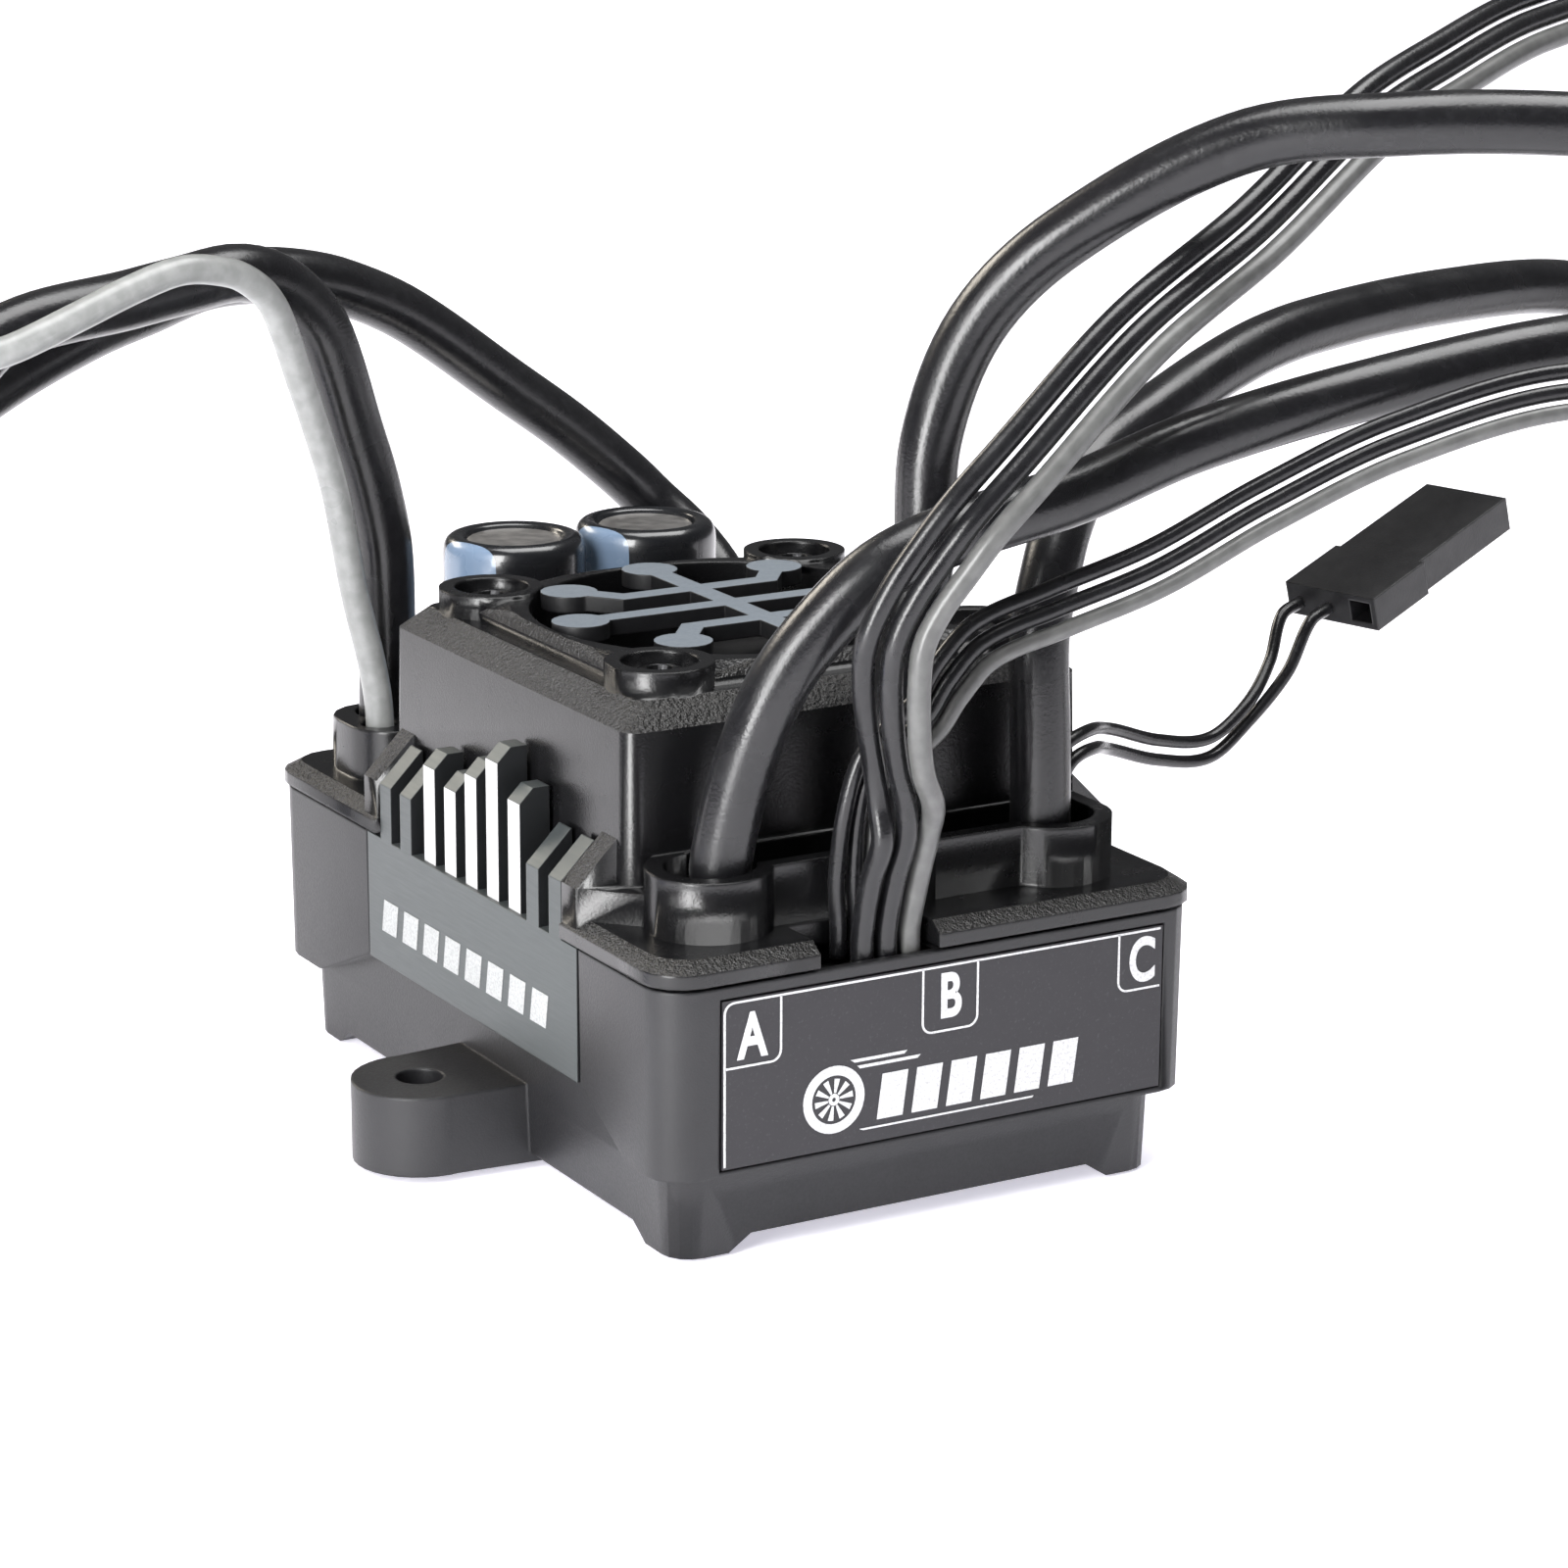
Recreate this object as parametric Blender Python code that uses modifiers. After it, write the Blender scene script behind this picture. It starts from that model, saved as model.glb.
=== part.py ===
"""Electronic speed controller for a model car: case, finned heatsink, fan tower, capacitors and leads.

Frame: origin under the middle of the case, +Z up. The motor leads leave at -Y, the battery leads at +Y,
and the finned side face with the bar pattern looks to -X.
"""
import math

import bmesh
import bpy
from mathutils import Euler, Vector

MM = 0.001

# ---------------------------------------------------------------- driving dimensions
CASE_WIDTH = 40.0 * MM
CASE_LENGTH = 58.0 * MM
SEAM_HEIGHT = 18.4 * MM
BAND_HEIGHT = 5.6 * MM
BAND_INSET = 1.6 * MM
CORNER_RADIUS = 2.6 * MM
WALL = 1.5 * MM
FLOOR_TOP = 2.8 * MM
FOOT_HEIGHT = 1.1 * MM
FOOT_SPAN = 12.8 * MM
FOOT_RAMP = 1.6 * MM
FOOT_LENGTH = 7.5 * MM
GAP = 0.3 * MM

LIP_OVERHANG = 0.3 * MM
LIP_BAND = 0.9 * MM
LIP_THICKNESS = 1.6 * MM
LIP_CHAMFER = 1.0 * MM

FAN_SIZE = 30.0 * MM
FAN_DEPTH = 8.0 * MM
FAN_HOLE_PITCH = 24.0 * MM
FAN_Y = -1.8 * MM
FAN_BORE = 28.0 * MM
FAN_HUB = 13.0 * MM
FAN_BLADES = 7
TOWER_WALL = 1.65 * MM
TOWER_DRAFT = 0.2 * MM
TOWER_SHOULDER = 32.4 * MM
TOWER_DECK = 34.0 * MM
RIM_TOP = 35.3 * MM
BOSS_TOP = 35.6 * MM
BOSS_DIAMETER = 7.2 * MM
OPENING = 27.2 * MM

FIN_COUNT = 9
FIN_PITCH = 3.15 * MM
FIN_WIDTH = 1.7 * MM
FIN_DEPTH = 2.5 * MM
PLATE_BOTTOM = 9.4 * MM
PLATE_THICKNESS = 1.7 * MM

EAR_RADIUS = 4.6 * MM
EAR_REACH = 23.9 * MM
EAR_Y = -2.1 * MM
EAR_BOTTOM = 0.4 * MM
EAR_TOP = 5.9 * MM
EAR_HOLE = 3.2 * MM

MOTOR_LEAD = 4.0 * MM
MOTOR_PITCH = 12.0 * MM
MOTOR_X = -0.5 * MM
MOTOR_INSET = 6.2 * MM
COLLAR_TOP = 24.3 * MM
COLLAR_FLOOR = 22.0 * MM
COLLAR_WALL = 1.2 * MM
BATTERY_LEAD = 4.0 * MM
DATA_LEAD = 2.0 * MM
SIGNAL_WIRE = 1.5 * MM
SENSOR_WIRE = 1.1 * MM
AUX_WIRE = 0.9 * MM
LEAD_CLEARANCE = 0.3 * MM

CAN_DIAMETER = 10.3 * MM
CAN_TOP = 35.8 * MM
CAN_PITCH = 10.7 * MM
CAN_X = 1.9 * MM
CAN_INSET = 5.4 * MM

# ---------------------------------------------------------------- derived positions
HALF_W = CASE_WIDTH / 2
HALF_L = CASE_LENGTH / 2
BAND_W = HALF_W - BAND_INSET
BAND_L = HALF_L - BAND_INSET
LIP_BOTTOM = SEAM_HEIGHT + GAP
DECK = LIP_BOTTOM + LIP_THICKNESS
TOWER_HALF = FAN_SIZE / 2 + 0.4 * MM + TOWER_WALL
TOWER_FRONT = FAN_Y - TOWER_HALF
TOWER_BACK = FAN_Y + TOWER_HALF
ROOF_BOTTOM = TOWER_SHOULDER
FAN_TOP = ROOF_BOTTOM - GAP
FAN_BOTTOM = FAN_TOP - FAN_DEPTH
MOTOR_Y = -HALF_L + MOTOR_INSET
CAN_Y = HALF_L - CAN_INSET
BOARD_TOP = 6.4 * MM
SPAN = FIN_PITCH * (FIN_COUNT - 1) / 2 + FIN_WIDTH / 2
PLATE_SPAN = SPAN + 2.1 * MM
EAR_OUT = HALF_W + EAR_REACH - 20.0 * MM

# ---------------------------------------------------------------- scene set-up
for old in list(bpy.data.objects):
    bpy.data.objects.remove(old, do_unlink=True)

parts = bpy.data.collections.new("speed_controller")
cutters = bpy.data.collections.new("cutters")
bpy.context.scene.collection.children.link(parts)
bpy.context.scene.collection.children.link(cutters)


def material(name, colour, roughness, metallic=0.0):
    """One Principled BSDF material."""
    made = bpy.data.materials.new(name)
    made.use_nodes = True
    shader = made.node_tree.nodes["Principled BSDF"]
    shader.inputs["Base Color"].default_value = (*colour, 1.0)
    shader.inputs["Roughness"].default_value = roughness
    shader.inputs["Metallic"].default_value = metallic
    return made


CASE_PLASTIC = material("case_plastic", (0.035, 0.035, 0.038), 0.45)
COVER_PLASTIC = material("cover_plastic", (0.012, 0.012, 0.013), 0.3)
FIN_METAL = material("fin_metal", (0.18, 0.20, 0.21), 0.4, 0.6)
RAW_ALUMINIUM = material("raw_aluminium", (0.7, 0.7, 0.7), 0.35, 1.0)
FAN_PLASTIC = material("fan_plastic", (0.01, 0.01, 0.01), 0.4)
GUARD_PAINT = material("guard_paint", (0.22, 0.25, 0.29), 0.45)
STEEL = material("steel", (0.35, 0.35, 0.36), 0.3, 1.0)
BOARD_GREEN = material("board_green", (0.02, 0.09, 0.04), 0.5)
CHIP_BLACK = material("chip_black", (0.02, 0.02, 0.02), 0.5)
PAD_GREY = material("pad_grey", (0.35, 0.37, 0.42), 0.8)
COPPER = material("copper", (0.75, 0.4, 0.2), 0.35, 1.0)
GOLD = material("gold", (0.9, 0.65, 0.25), 0.25, 1.0)
SLEEVE = material("can_sleeve", (0.02, 0.025, 0.03), 0.25)
LABEL_FILM = material("label_film", (0.05, 0.05, 0.055), 0.5)
WIRE_BLACK = material("wire_black", (0.015, 0.015, 0.016), 0.5)
WIRE_GREY = material("wire_grey", (0.35, 0.36, 0.36), 0.5)
PLUG_BLACK = material("plug_black", (0.015, 0.015, 0.015), 0.4)
PLUG_BLUE = material("plug_blue", (0.03, 0.08, 0.3), 0.4)


# ---------------------------------------------------------------- modelling helpers
def finish(obj, smooth=False):
    """Shade a piece, with sharp edges kept where faces meet steeply."""
    if smooth:
        obj.data.shade_smooth()
        obj.data.set_sharp_from_angle(angle=math.radians(35))
    return obj


def new_object(name, bm, mat, collection=None, smooth=False):
    """Make an object from a bmesh and put it in a collection."""
    bmesh.ops.recalc_face_normals(bm, faces=bm.faces)
    mesh = bpy.data.meshes.new(name)
    bm.to_mesh(mesh)
    bm.free()
    obj = bpy.data.objects.new(name, mesh)
    if mat is not None:
        mesh.materials.append(mat)
    (collection or parts).objects.link(obj)
    return finish(obj, smooth)


def rounded_ring(half_x, half_y, radius, steps=4, centre=(0.0, 0.0)):
    """Outline of a rectangle with rounded corners, anticlockwise."""
    points = []
    for sx, sy, start in ((1, 1, 0), (-1, 1, 90), (-1, -1, 180), (1, -1, 270)):
        for step in range(steps + 1):
            angle = math.radians(start + 90 * step / steps)
            x = centre[0] + sx * (half_x - radius) + radius * math.cos(angle)
            y = centre[1] + sy * (half_y - radius) + radius * math.sin(angle)
            points.append((x, y))
    return points


def loft_mesh(rings):
    """Closed solid through rings of equal point count; each ring is a list of 3-D points."""
    bm = bmesh.new()
    rows = [[bm.verts.new(point) for point in ring] for ring in rings]
    for low, high in zip(rows, rows[1:]):
        for i in range(len(low)):
            j = (i + 1) % len(low)
            bm.faces.new((low[i], low[j], high[j], high[i]))
    bm.faces.new(list(reversed(rows[0])))
    bm.faces.new(rows[-1])
    return bm


def stack_mesh(sections, steps=4, centre=(0.0, 0.0)):
    """Rounded block whose outline changes with height: sections are (z, half_x, half_y, radius)."""
    rings = []
    for z, half_x, half_y, radius in sections:
        outline = rounded_ring(half_x, half_y, radius, steps, centre)
        rings.append([(x, y, z) for x, y in outline])
    return loft_mesh(rings)


def prism_mesh(outline, axis, low, high):
    """A flat outline pushed from low to high along one axis (0 = X, 1 = Y, 2 = Z)."""
    bm = bmesh.new()
    verts = []
    for a, b in outline:
        point = [a, b]
        point.insert(axis, low)
        verts.append(bm.verts.new(point))
    face = bmesh.ops.contextual_create(bm, geom=verts)["faces"][0]
    pushed = bmesh.ops.extrude_face_region(bm, geom=[face])
    moved = [item for item in pushed["geom"] if isinstance(item, bmesh.types.BMVert)]
    shift = Vector((0.0, 0.0, 0.0))
    shift[axis] = high - low
    bmesh.ops.translate(bm, verts=moved, vec=shift)
    return bm


def box_mesh(low, high):
    """Box between two corners."""
    bm = bmesh.new()
    bmesh.ops.create_cube(bm, size=1.0)
    size = Vector(high) - Vector(low)
    middle = (Vector(high) + Vector(low)) / 2
    bmesh.ops.scale(bm, verts=bm.verts, vec=size)
    bmesh.ops.translate(bm, verts=bm.verts, vec=middle)
    return bm


def cylinder_mesh(x, y, low, high, diameter, segments=24):
    """Upright cylinder."""
    bm = bmesh.new()
    bmesh.ops.create_cone(bm, cap_ends=True, segments=segments, radius1=diameter / 2,
                          radius2=diameter / 2, depth=high - low)
    bmesh.ops.translate(bm, verts=bm.verts, vec=(x, y, (low + high) / 2))
    return bm


def several(meshes):
    """Put separate solids into one bmesh, for one cutter or one join."""
    whole = bmesh.new()
    for bm in meshes:
        held = bpy.data.meshes.new("held")
        bm.to_mesh(held)
        bm.free()
        whole.from_mesh(held)
        bpy.data.meshes.remove(held)
    return whole


def carve(target, bm, operation="DIFFERENCE"):
    """Cut a bmesh out of a piece, or join it on with UNION."""
    tool = new_object(target.name + "_tool", bm, None, cutters)
    tool.hide_render = True
    tool.display_type = "WIRE"
    change = target.modifiers.new(operation.lower(), "BOOLEAN")
    change.operation = operation
    change.solver = "EXACT"
    change.object = tool
    return target


def turned(name, profile, mat, location, steps=24, collection=None):
    """Piece turned about its own Z axis; the profile of (radius, height) runs top to bottom."""
    bm = bmesh.new()
    verts = [bm.verts.new((radius, 0.0, height)) for radius, height in profile]
    for upper, lower in zip(verts, verts[1:]):
        bm.edges.new((upper, lower))
    mesh = bpy.data.meshes.new(name)
    bm.to_mesh(mesh)
    bm.free()
    mesh.materials.append(mat)
    obj = bpy.data.objects.new(name, mesh)
    (collection or parts).objects.link(obj)
    obj.location = location
    screw = obj.modifiers.new("turn", "SCREW")
    screw.steps = steps
    screw.render_steps = steps
    screw.use_merge_vertices = True
    screw.merge_threshold = 0.00002
    screw.use_smooth_shade = True
    return obj


def smooth_path(points, step):
    """Even points along a smooth curve (Catmull-Rom) through the given route points."""
    knots = [Vector(point) for point in points]
    knots.insert(0, knots[0] * 2 - knots[1])
    knots.append(knots[-1] * 2 - knots[-2])
    dense = []
    for a, b, c, d in zip(knots, knots[1:], knots[2:], knots[3:]):
        reach = (c - b).length
        start = (c - a) * (reach / max((c - a).length, 1e-9))
        end = (d - b) * (reach / max((d - b).length, 1e-9))
        for i in range(24):
            t = i / 24
            dense.append(b * (2 * t**3 - 3 * t**2 + 1) + start * (t**3 - 2 * t**2 + t)
                         + c * (3 * t**2 - 2 * t**3) + end * (t**3 - t**2))
    dense.append(knots[-2])
    run = [0.0]
    for first, second in zip(dense, dense[1:]):
        run.append(run[-1] + (second - first).length)
    count = max(8, round(run[-1] / step))
    path = []
    index = 0
    for i in range(count + 1):
        target = run[-1] * i / count
        while index < len(dense) - 2 and run[index + 1] < target:
            index += 1
        share = (target - run[index]) / max(run[index + 1] - run[index], 1e-12)
        path.append(dense[index].lerp(dense[index + 1], min(1.0, max(0.0, share))))
    return path


def cord(name, points, diameter, mat, step=2.6):
    """Free wire: a round tube along a smooth route."""
    data = bpy.data.curves.new(name, "CURVE")
    data.dimensions = "3D"
    data.bevel_depth = diameter / 2
    data.bevel_resolution = 3 if diameter > 3 * MM else 2
    data.use_fill_caps = True
    path = smooth_path(points, diameter * step)
    spline = data.splines.new("POLY")
    spline.points.add(len(path) - 1)
    for item, place in zip(spline.points, path):
        item.co = (*place, 1.0)
    data.materials.append(mat)
    obj = bpy.data.objects.new(name, data)
    parts.objects.link(obj)
    return obj


def route(anchor, offsets):
    """Route points given in millimetres from an anchor point in metres."""
    start = Vector(anchor)
    return [start + Vector(offset) * MM for offset in offsets]


def ribbon(anchor, stations, place):
    """Route of one wire of a ribbon: stations are (x, y, z, side x, side y, side z) in millimetres."""
    start = Vector(anchor)
    return [start + (Vector(s[:3]) + Vector(s[3:]) * place) * MM for s in stations]


# ---------------------------------------------------------------- lower case
POST_PLACES = (
    (MOTOR_X - MOTOR_PITCH / 2, MOTOR_Y + 0.4 * MM),
    (MOTOR_X + MOTOR_PITCH / 2, MOTOR_Y + 0.4 * MM),
    (CAN_X - 9.9 * MM, HALF_L - 6.0 * MM),
    (CAN_X + 7.6 * MM, HALF_L - 6.0 * MM),
)
POST_DIAMETER = 4.6 * MM
SCREW_SHANK = 2.0 * MM

lower_case = new_object("lower_case", stack_mesh((
    (0.0, BAND_W - 0.2 * MM, BAND_L - 0.2 * MM, CORNER_RADIUS - 0.6 * MM),
    (BAND_HEIGHT - 0.3 * MM, BAND_W, BAND_L, CORNER_RADIUS - 0.4 * MM),
    (BAND_HEIGHT + 0.3 * MM, HALF_W - 0.1 * MM, HALF_L - 0.1 * MM, CORNER_RADIUS),
    (SEAM_HEIGHT, HALF_W, HALF_L, CORNER_RADIUS),
)), CASE_PLASTIC, smooth=True)

for side in (-1, 1):
    out = side * (HALF_W + 2 * MM)
    inner = side * BAND_W
    recess = (
        (FAN_Y - PLATE_SPAN - 8.0 * MM, BAND_HEIGHT - 0.6 * MM),
        (FAN_Y - PLATE_SPAN - 0.3 * MM, PLATE_BOTTOM + 0.1 * MM),
        (FAN_Y + PLATE_SPAN + 0.3 * MM, PLATE_BOTTOM + 0.1 * MM),
        (FAN_Y + PLATE_SPAN + 11.0 * MM, BAND_HEIGHT - 0.6 * MM),
    )
    carve(lower_case, prism_mesh(recess, 0, min(out, inner), max(out, inner)))
    pocket_in = side * (HALF_W - PLATE_THICKNESS - GAP)
    carve(lower_case, box_mesh(
        (min(out, pocket_in), FAN_Y - PLATE_SPAN - GAP, PLATE_BOTTOM - GAP),
        (max(out, pocket_in), FAN_Y + PLATE_SPAN + GAP, SEAM_HEIGHT + 1 * MM)))
    ledge_in = side * (HALF_W - FIN_DEPTH - 0.5 * MM)
    carve(lower_case, box_mesh(
        (min(out, ledge_in), FAN_Y - SPAN - GAP, SEAM_HEIGHT - 2.2 * MM),
        (max(out, ledge_in), FAN_Y + SPAN + GAP, SEAM_HEIGHT + 1 * MM)))

carve(lower_case, stack_mesh((
    (FLOOR_TOP, BAND_W - WALL, BAND_L - WALL, 1.6 * MM),
    (SEAM_HEIGHT + 1 * MM, BAND_W - WALL, BAND_L - WALL, 1.6 * MM),
)))


def foot_gap(half):
    """Outline of the gap between two feet: their inner ends slope up by a ramp."""
    low = half + FOOT_RAMP * (1 + 1 * MM / FOOT_HEIGHT)
    return ((-low, -1 * MM), (low, -1 * MM), (half, FOOT_HEIGHT), (-half, FOOT_HEIGHT))


carve(lower_case, prism_mesh(foot_gap(FOOT_SPAN), 1, -HALF_L, HALF_L))
carve(lower_case, prism_mesh(foot_gap(HALF_L - FOOT_LENGTH), 0, -HALF_W, HALF_W))

for side in (-1, 1):
    lug_x = side * EAR_OUT
    lug_y = -side * EAR_Y
    carve(lower_case, cylinder_mesh(lug_x, lug_y, EAR_BOTTOM, EAR_TOP, 2 * EAR_RADIUS, 32), "UNION")
    near = side * (BAND_W - 1.0 * MM)
    neck = (
        (lug_x, lug_y - EAR_RADIUS * 0.98),
        (near, lug_y - EAR_RADIUS * 1.1),
        (near, lug_y + EAR_RADIUS * 1.1),
        (lug_x, lug_y + EAR_RADIUS * 0.98),
    )
    carve(lower_case, prism_mesh(neck, 2, EAR_BOTTOM, EAR_TOP), "UNION")
    carve(lower_case, cylinder_mesh(lug_x, lug_y, EAR_BOTTOM - 1 * MM, EAR_TOP + 1 * MM, EAR_HOLE, 24))

for rib_x in (-10.0 * MM, 10.0 * MM):
    carve(lower_case, box_mesh((rib_x - 0.6 * MM, -15 * MM, FLOOR_TOP - 0.5 * MM),
                               (rib_x + 0.6 * MM, 15 * MM, 4.7 * MM)), "UNION")
for post_x, post_y in POST_PLACES:
    carve(lower_case, cylinder_mesh(post_x, post_y, -1 * MM, 2.0 * MM, 4.6 * MM, 20))
    carve(lower_case, cylinder_mesh(post_x, post_y, 1.5 * MM, FLOOR_TOP + 1 * MM, 2.6 * MM, 16))

LABEL_LEFT = -15.9 * MM
LABEL_RIGHT = 17.2 * MM
LABEL_LOW = 6.4 * MM
LABEL_HIGH = 17.5 * MM
carve(lower_case, box_mesh((LABEL_LEFT - 0.15 * MM, -HALF_L - 1 * MM, LABEL_LOW - 0.15 * MM),
                           (LABEL_RIGHT + 0.15 * MM, -HALF_L + 0.6 * MM, LABEL_HIGH + 0.15 * MM)))

SLOT_LEFT = MOTOR_X - 8.5 * MM
SLOT_RIGHT = MOTOR_X + 0.3 * MM
SLOT_BACK = MOTOR_Y - 2.2 * MM
carve(lower_case, box_mesh((SLOT_LEFT, -HALF_L + 0.65 * MM, SEAM_HEIGHT - 0.7 * MM),
                           (SLOT_RIGHT, SLOT_BACK, SEAM_HEIGHT + 1 * MM)))

# ---------------------------------------------------------------- top cover with the fan tower
top_cover = new_object("top_cover", stack_mesh((
    (LIP_BOTTOM, HALF_W + LIP_OVERHANG, HALF_L + LIP_OVERHANG, CORNER_RADIUS + LIP_OVERHANG),
    (LIP_BOTTOM + LIP_BAND, HALF_W + LIP_OVERHANG, HALF_L + LIP_OVERHANG, CORNER_RADIUS + LIP_OVERHANG),
    (DECK, HALF_W + LIP_OVERHANG - LIP_CHAMFER, HALF_L + LIP_OVERHANG - LIP_CHAMFER, CORNER_RADIUS),
)), COVER_PLASTIC, smooth=True)

TOWER_R = 1.2 * MM
carve(top_cover, stack_mesh((
    (LIP_BOTTOM + 0.2 * MM, TOWER_HALF + TOWER_DRAFT, TOWER_HALF + TOWER_DRAFT, TOWER_R),
    (TOWER_SHOULDER, TOWER_HALF, TOWER_HALF, TOWER_R),
    (TOWER_DECK, TOWER_HALF - 1.6 * MM, TOWER_HALF - 1.6 * MM, TOWER_R),
), centre=(0.0, FAN_Y)), "UNION")
carve(top_cover, stack_mesh((
    (TOWER_DECK - 0.5 * MM, TOWER_HALF - 2.8 * MM, TOWER_HALF - 2.8 * MM, 4.0 * MM),
    (TOWER_DECK + 0.5 * MM, TOWER_HALF - 2.8 * MM, TOWER_HALF - 2.8 * MM, 4.0 * MM),
    (RIM_TOP, TOWER_HALF - 3.1 * MM, TOWER_HALF - 3.1 * MM, 11.0 * MM),
), centre=(0.0, FAN_Y), steps=6), "UNION")

SHOULDER_TOP = DECK + 2.1 * MM
for low_y, high_y in ((FAN_Y - SPAN - 2.3 * MM, FAN_Y - SPAN - 0.2 * MM),
                      (FAN_Y + SPAN + 0.2 * MM, FAN_Y + SPAN + 2.3 * MM)):
    for side in (-1, 1):
        wedge = (
            (side * (HALF_W + 0.1 * MM), LIP_BOTTOM + 0.1 * MM),
            (side * (HALF_W + 0.1 * MM), SHOULDER_TOP),
            (side * (TOWER_HALF - 0.4 * MM), SHOULDER_TOP + HALF_W + 0.5 * MM - TOWER_HALF),
            (side * (TOWER_HALF - 1.2 * MM), LIP_BOTTOM + 0.1 * MM),
        )
        carve(top_cover, prism_mesh(wedge, 1, low_y, high_y), "UNION")

LOBE = 8.2 * MM
LOBE_Y = MOTOR_Y + 0.2 * MM
LEFT_LOBE_X = MOTOR_X - MOTOR_PITCH - 0.8 * MM
RIGHT_LOBE_X = MOTOR_X + MOTOR_PITCH + 0.9 * MM
BAND_FRONT = MOTOR_Y - 1.8 * MM
for lobe_x, lobe_d in ((LEFT_LOBE_X, LOBE), (MOTOR_X, LOBE - 1.2 * MM), (RIGHT_LOBE_X, LOBE)):
    carve(top_cover, cylinder_mesh(lobe_x, LOBE_Y, DECK - 0.6 * MM, COLLAR_TOP, lobe_d, 36), "UNION")
carve(top_cover, box_mesh((LEFT_LOBE_X, BAND_FRONT, DECK - 0.6 * MM),
                          (RIGHT_LOBE_X, TOWER_FRONT + 0.8 * MM, COLLAR_TOP)), "UNION")
carve(top_cover, box_mesh((RIGHT_LOBE_X - 0.5 * MM, LOBE_Y, DECK - 0.6 * MM),
                          (RIGHT_LOBE_X + LOBE / 2 - 0.01 * MM, TOWER_FRONT + 0.8 * MM, COLLAR_TOP)), "UNION")
corner_block = (
    (-HALF_W - 0.1 * MM, FAN_Y - SPAN - 0.6 * MM),
    (-HALF_W - 0.1 * MM, FAN_Y - SPAN - 2.1 * MM),
    (LEFT_LOBE_X - 3.4 * MM, MOTOR_Y + 1.9 * MM),
    (LEFT_LOBE_X, MOTOR_Y + 1.9 * MM),
    (LEFT_LOBE_X, FAN_Y - SPAN - 0.6 * MM),
)
carve(top_cover, prism_mesh(corner_block, 2, DECK - 0.6 * MM, SHOULDER_TOP), "UNION")
for lobe_x, lobe_d in ((LEFT_LOBE_X, LOBE), (MOTOR_X, LOBE - 1.2 * MM), (RIGHT_LOBE_X, LOBE)):
    carve(top_cover, cylinder_mesh(lobe_x, LOBE_Y, COLLAR_FLOOR, COLLAR_TOP + 1 * MM,
                                   lobe_d - 2 * COLLAR_WALL, 32))
carve(top_cover, box_mesh((LEFT_LOBE_X, BAND_FRONT + COLLAR_WALL, COLLAR_FLOOR),
                          (RIGHT_LOBE_X, TOWER_FRONT - 0.55 * MM, COLLAR_TOP + 1 * MM)))
carve(top_cover, box_mesh((RIGHT_LOBE_X - 0.5 * MM, LOBE_Y, COLLAR_FLOOR),
                          (RIGHT_LOBE_X + LOBE / 2 - COLLAR_WALL, TOWER_FRONT - 0.55 * MM, COLLAR_TOP + 1 * MM)))

SADDLE_TOP = DECK + 2.7 * MM
carve(top_cover, box_mesh((CAN_X - 11.5 * MM, TOWER_BACK - 1 * MM, DECK - 0.6 * MM),
                          (CAN_X + 10.9 * MM, CAN_Y, SADDLE_TOP)), "UNION")
for can_x in (CAN_X - CAN_PITCH / 2, CAN_X + CAN_PITCH / 2):
    carve(top_cover, cylinder_mesh(can_x, CAN_Y, DECK, SADDLE_TOP + 1 * MM,
                                   CAN_DIAMETER + 2 * LEAD_CLEARANCE, 24))

BATTERY_1 = (-HALF_W + 6.2 * MM, HALF_L - 5.5 * MM)
BATTERY_2 = (HALF_W - 4.4 * MM, HALF_L - 4.4 * MM)
DATA_PLACE = (-HALF_W + 4.2 * MM, HALF_L - 8.5 * MM)
BACK_COLLAR_TOP = COLLAR_TOP - 0.3 * MM
carve(top_cover, stack_mesh((
    (DECK - 0.6 * MM, 3.8 * MM, 4.5 * MM, 3.4 * MM),
    (BACK_COLLAR_TOP, 3.7 * MM, 4.4 * MM, 3.3 * MM),
), centre=(BATTERY_1[0] - 0.4 * MM, BATTERY_1[1] - 1.6 * MM)), "UNION")
carve(top_cover, stack_mesh((
    (DECK - 0.6 * MM, 2.9 * MM, 4.0 * MM, 1.5 * MM),
    (BACK_COLLAR_TOP, 2.8 * MM, 3.9 * MM, 1.5 * MM),
), centre=(BATTERY_2[0], BATTERY_2[1] - 0.4 * MM)), "UNION")

for boss_x in (-1, 1):
    for boss_y in (-1, 1):
        place = (boss_x * FAN_HOLE_PITCH / 2, FAN_Y + boss_y * FAN_HOLE_PITCH / 2)
        carve(top_cover, cylinder_mesh(*place, TOWER_SHOULDER + 0.2 * MM, BOSS_TOP,
                                       BOSS_DIAMETER, 36), "UNION")
SCREW_SEAT = ROOF_BOTTOM + 1.2 * MM
for boss_x in (-1, 1):
    for boss_y in (-1, 1):
        place = (boss_x * FAN_HOLE_PITCH / 2, FAN_Y + boss_y * FAN_HOLE_PITCH / 2)
        carve(top_cover, cylinder_mesh(*place, SCREW_SEAT, BOSS_TOP + 1 * MM, 5.1 * MM, 32))
        carve(top_cover, cylinder_mesh(*place, ROOF_BOTTOM - 1 * MM, SCREW_SEAT + 0.3 * MM, 3.0 * MM, 12))

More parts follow.
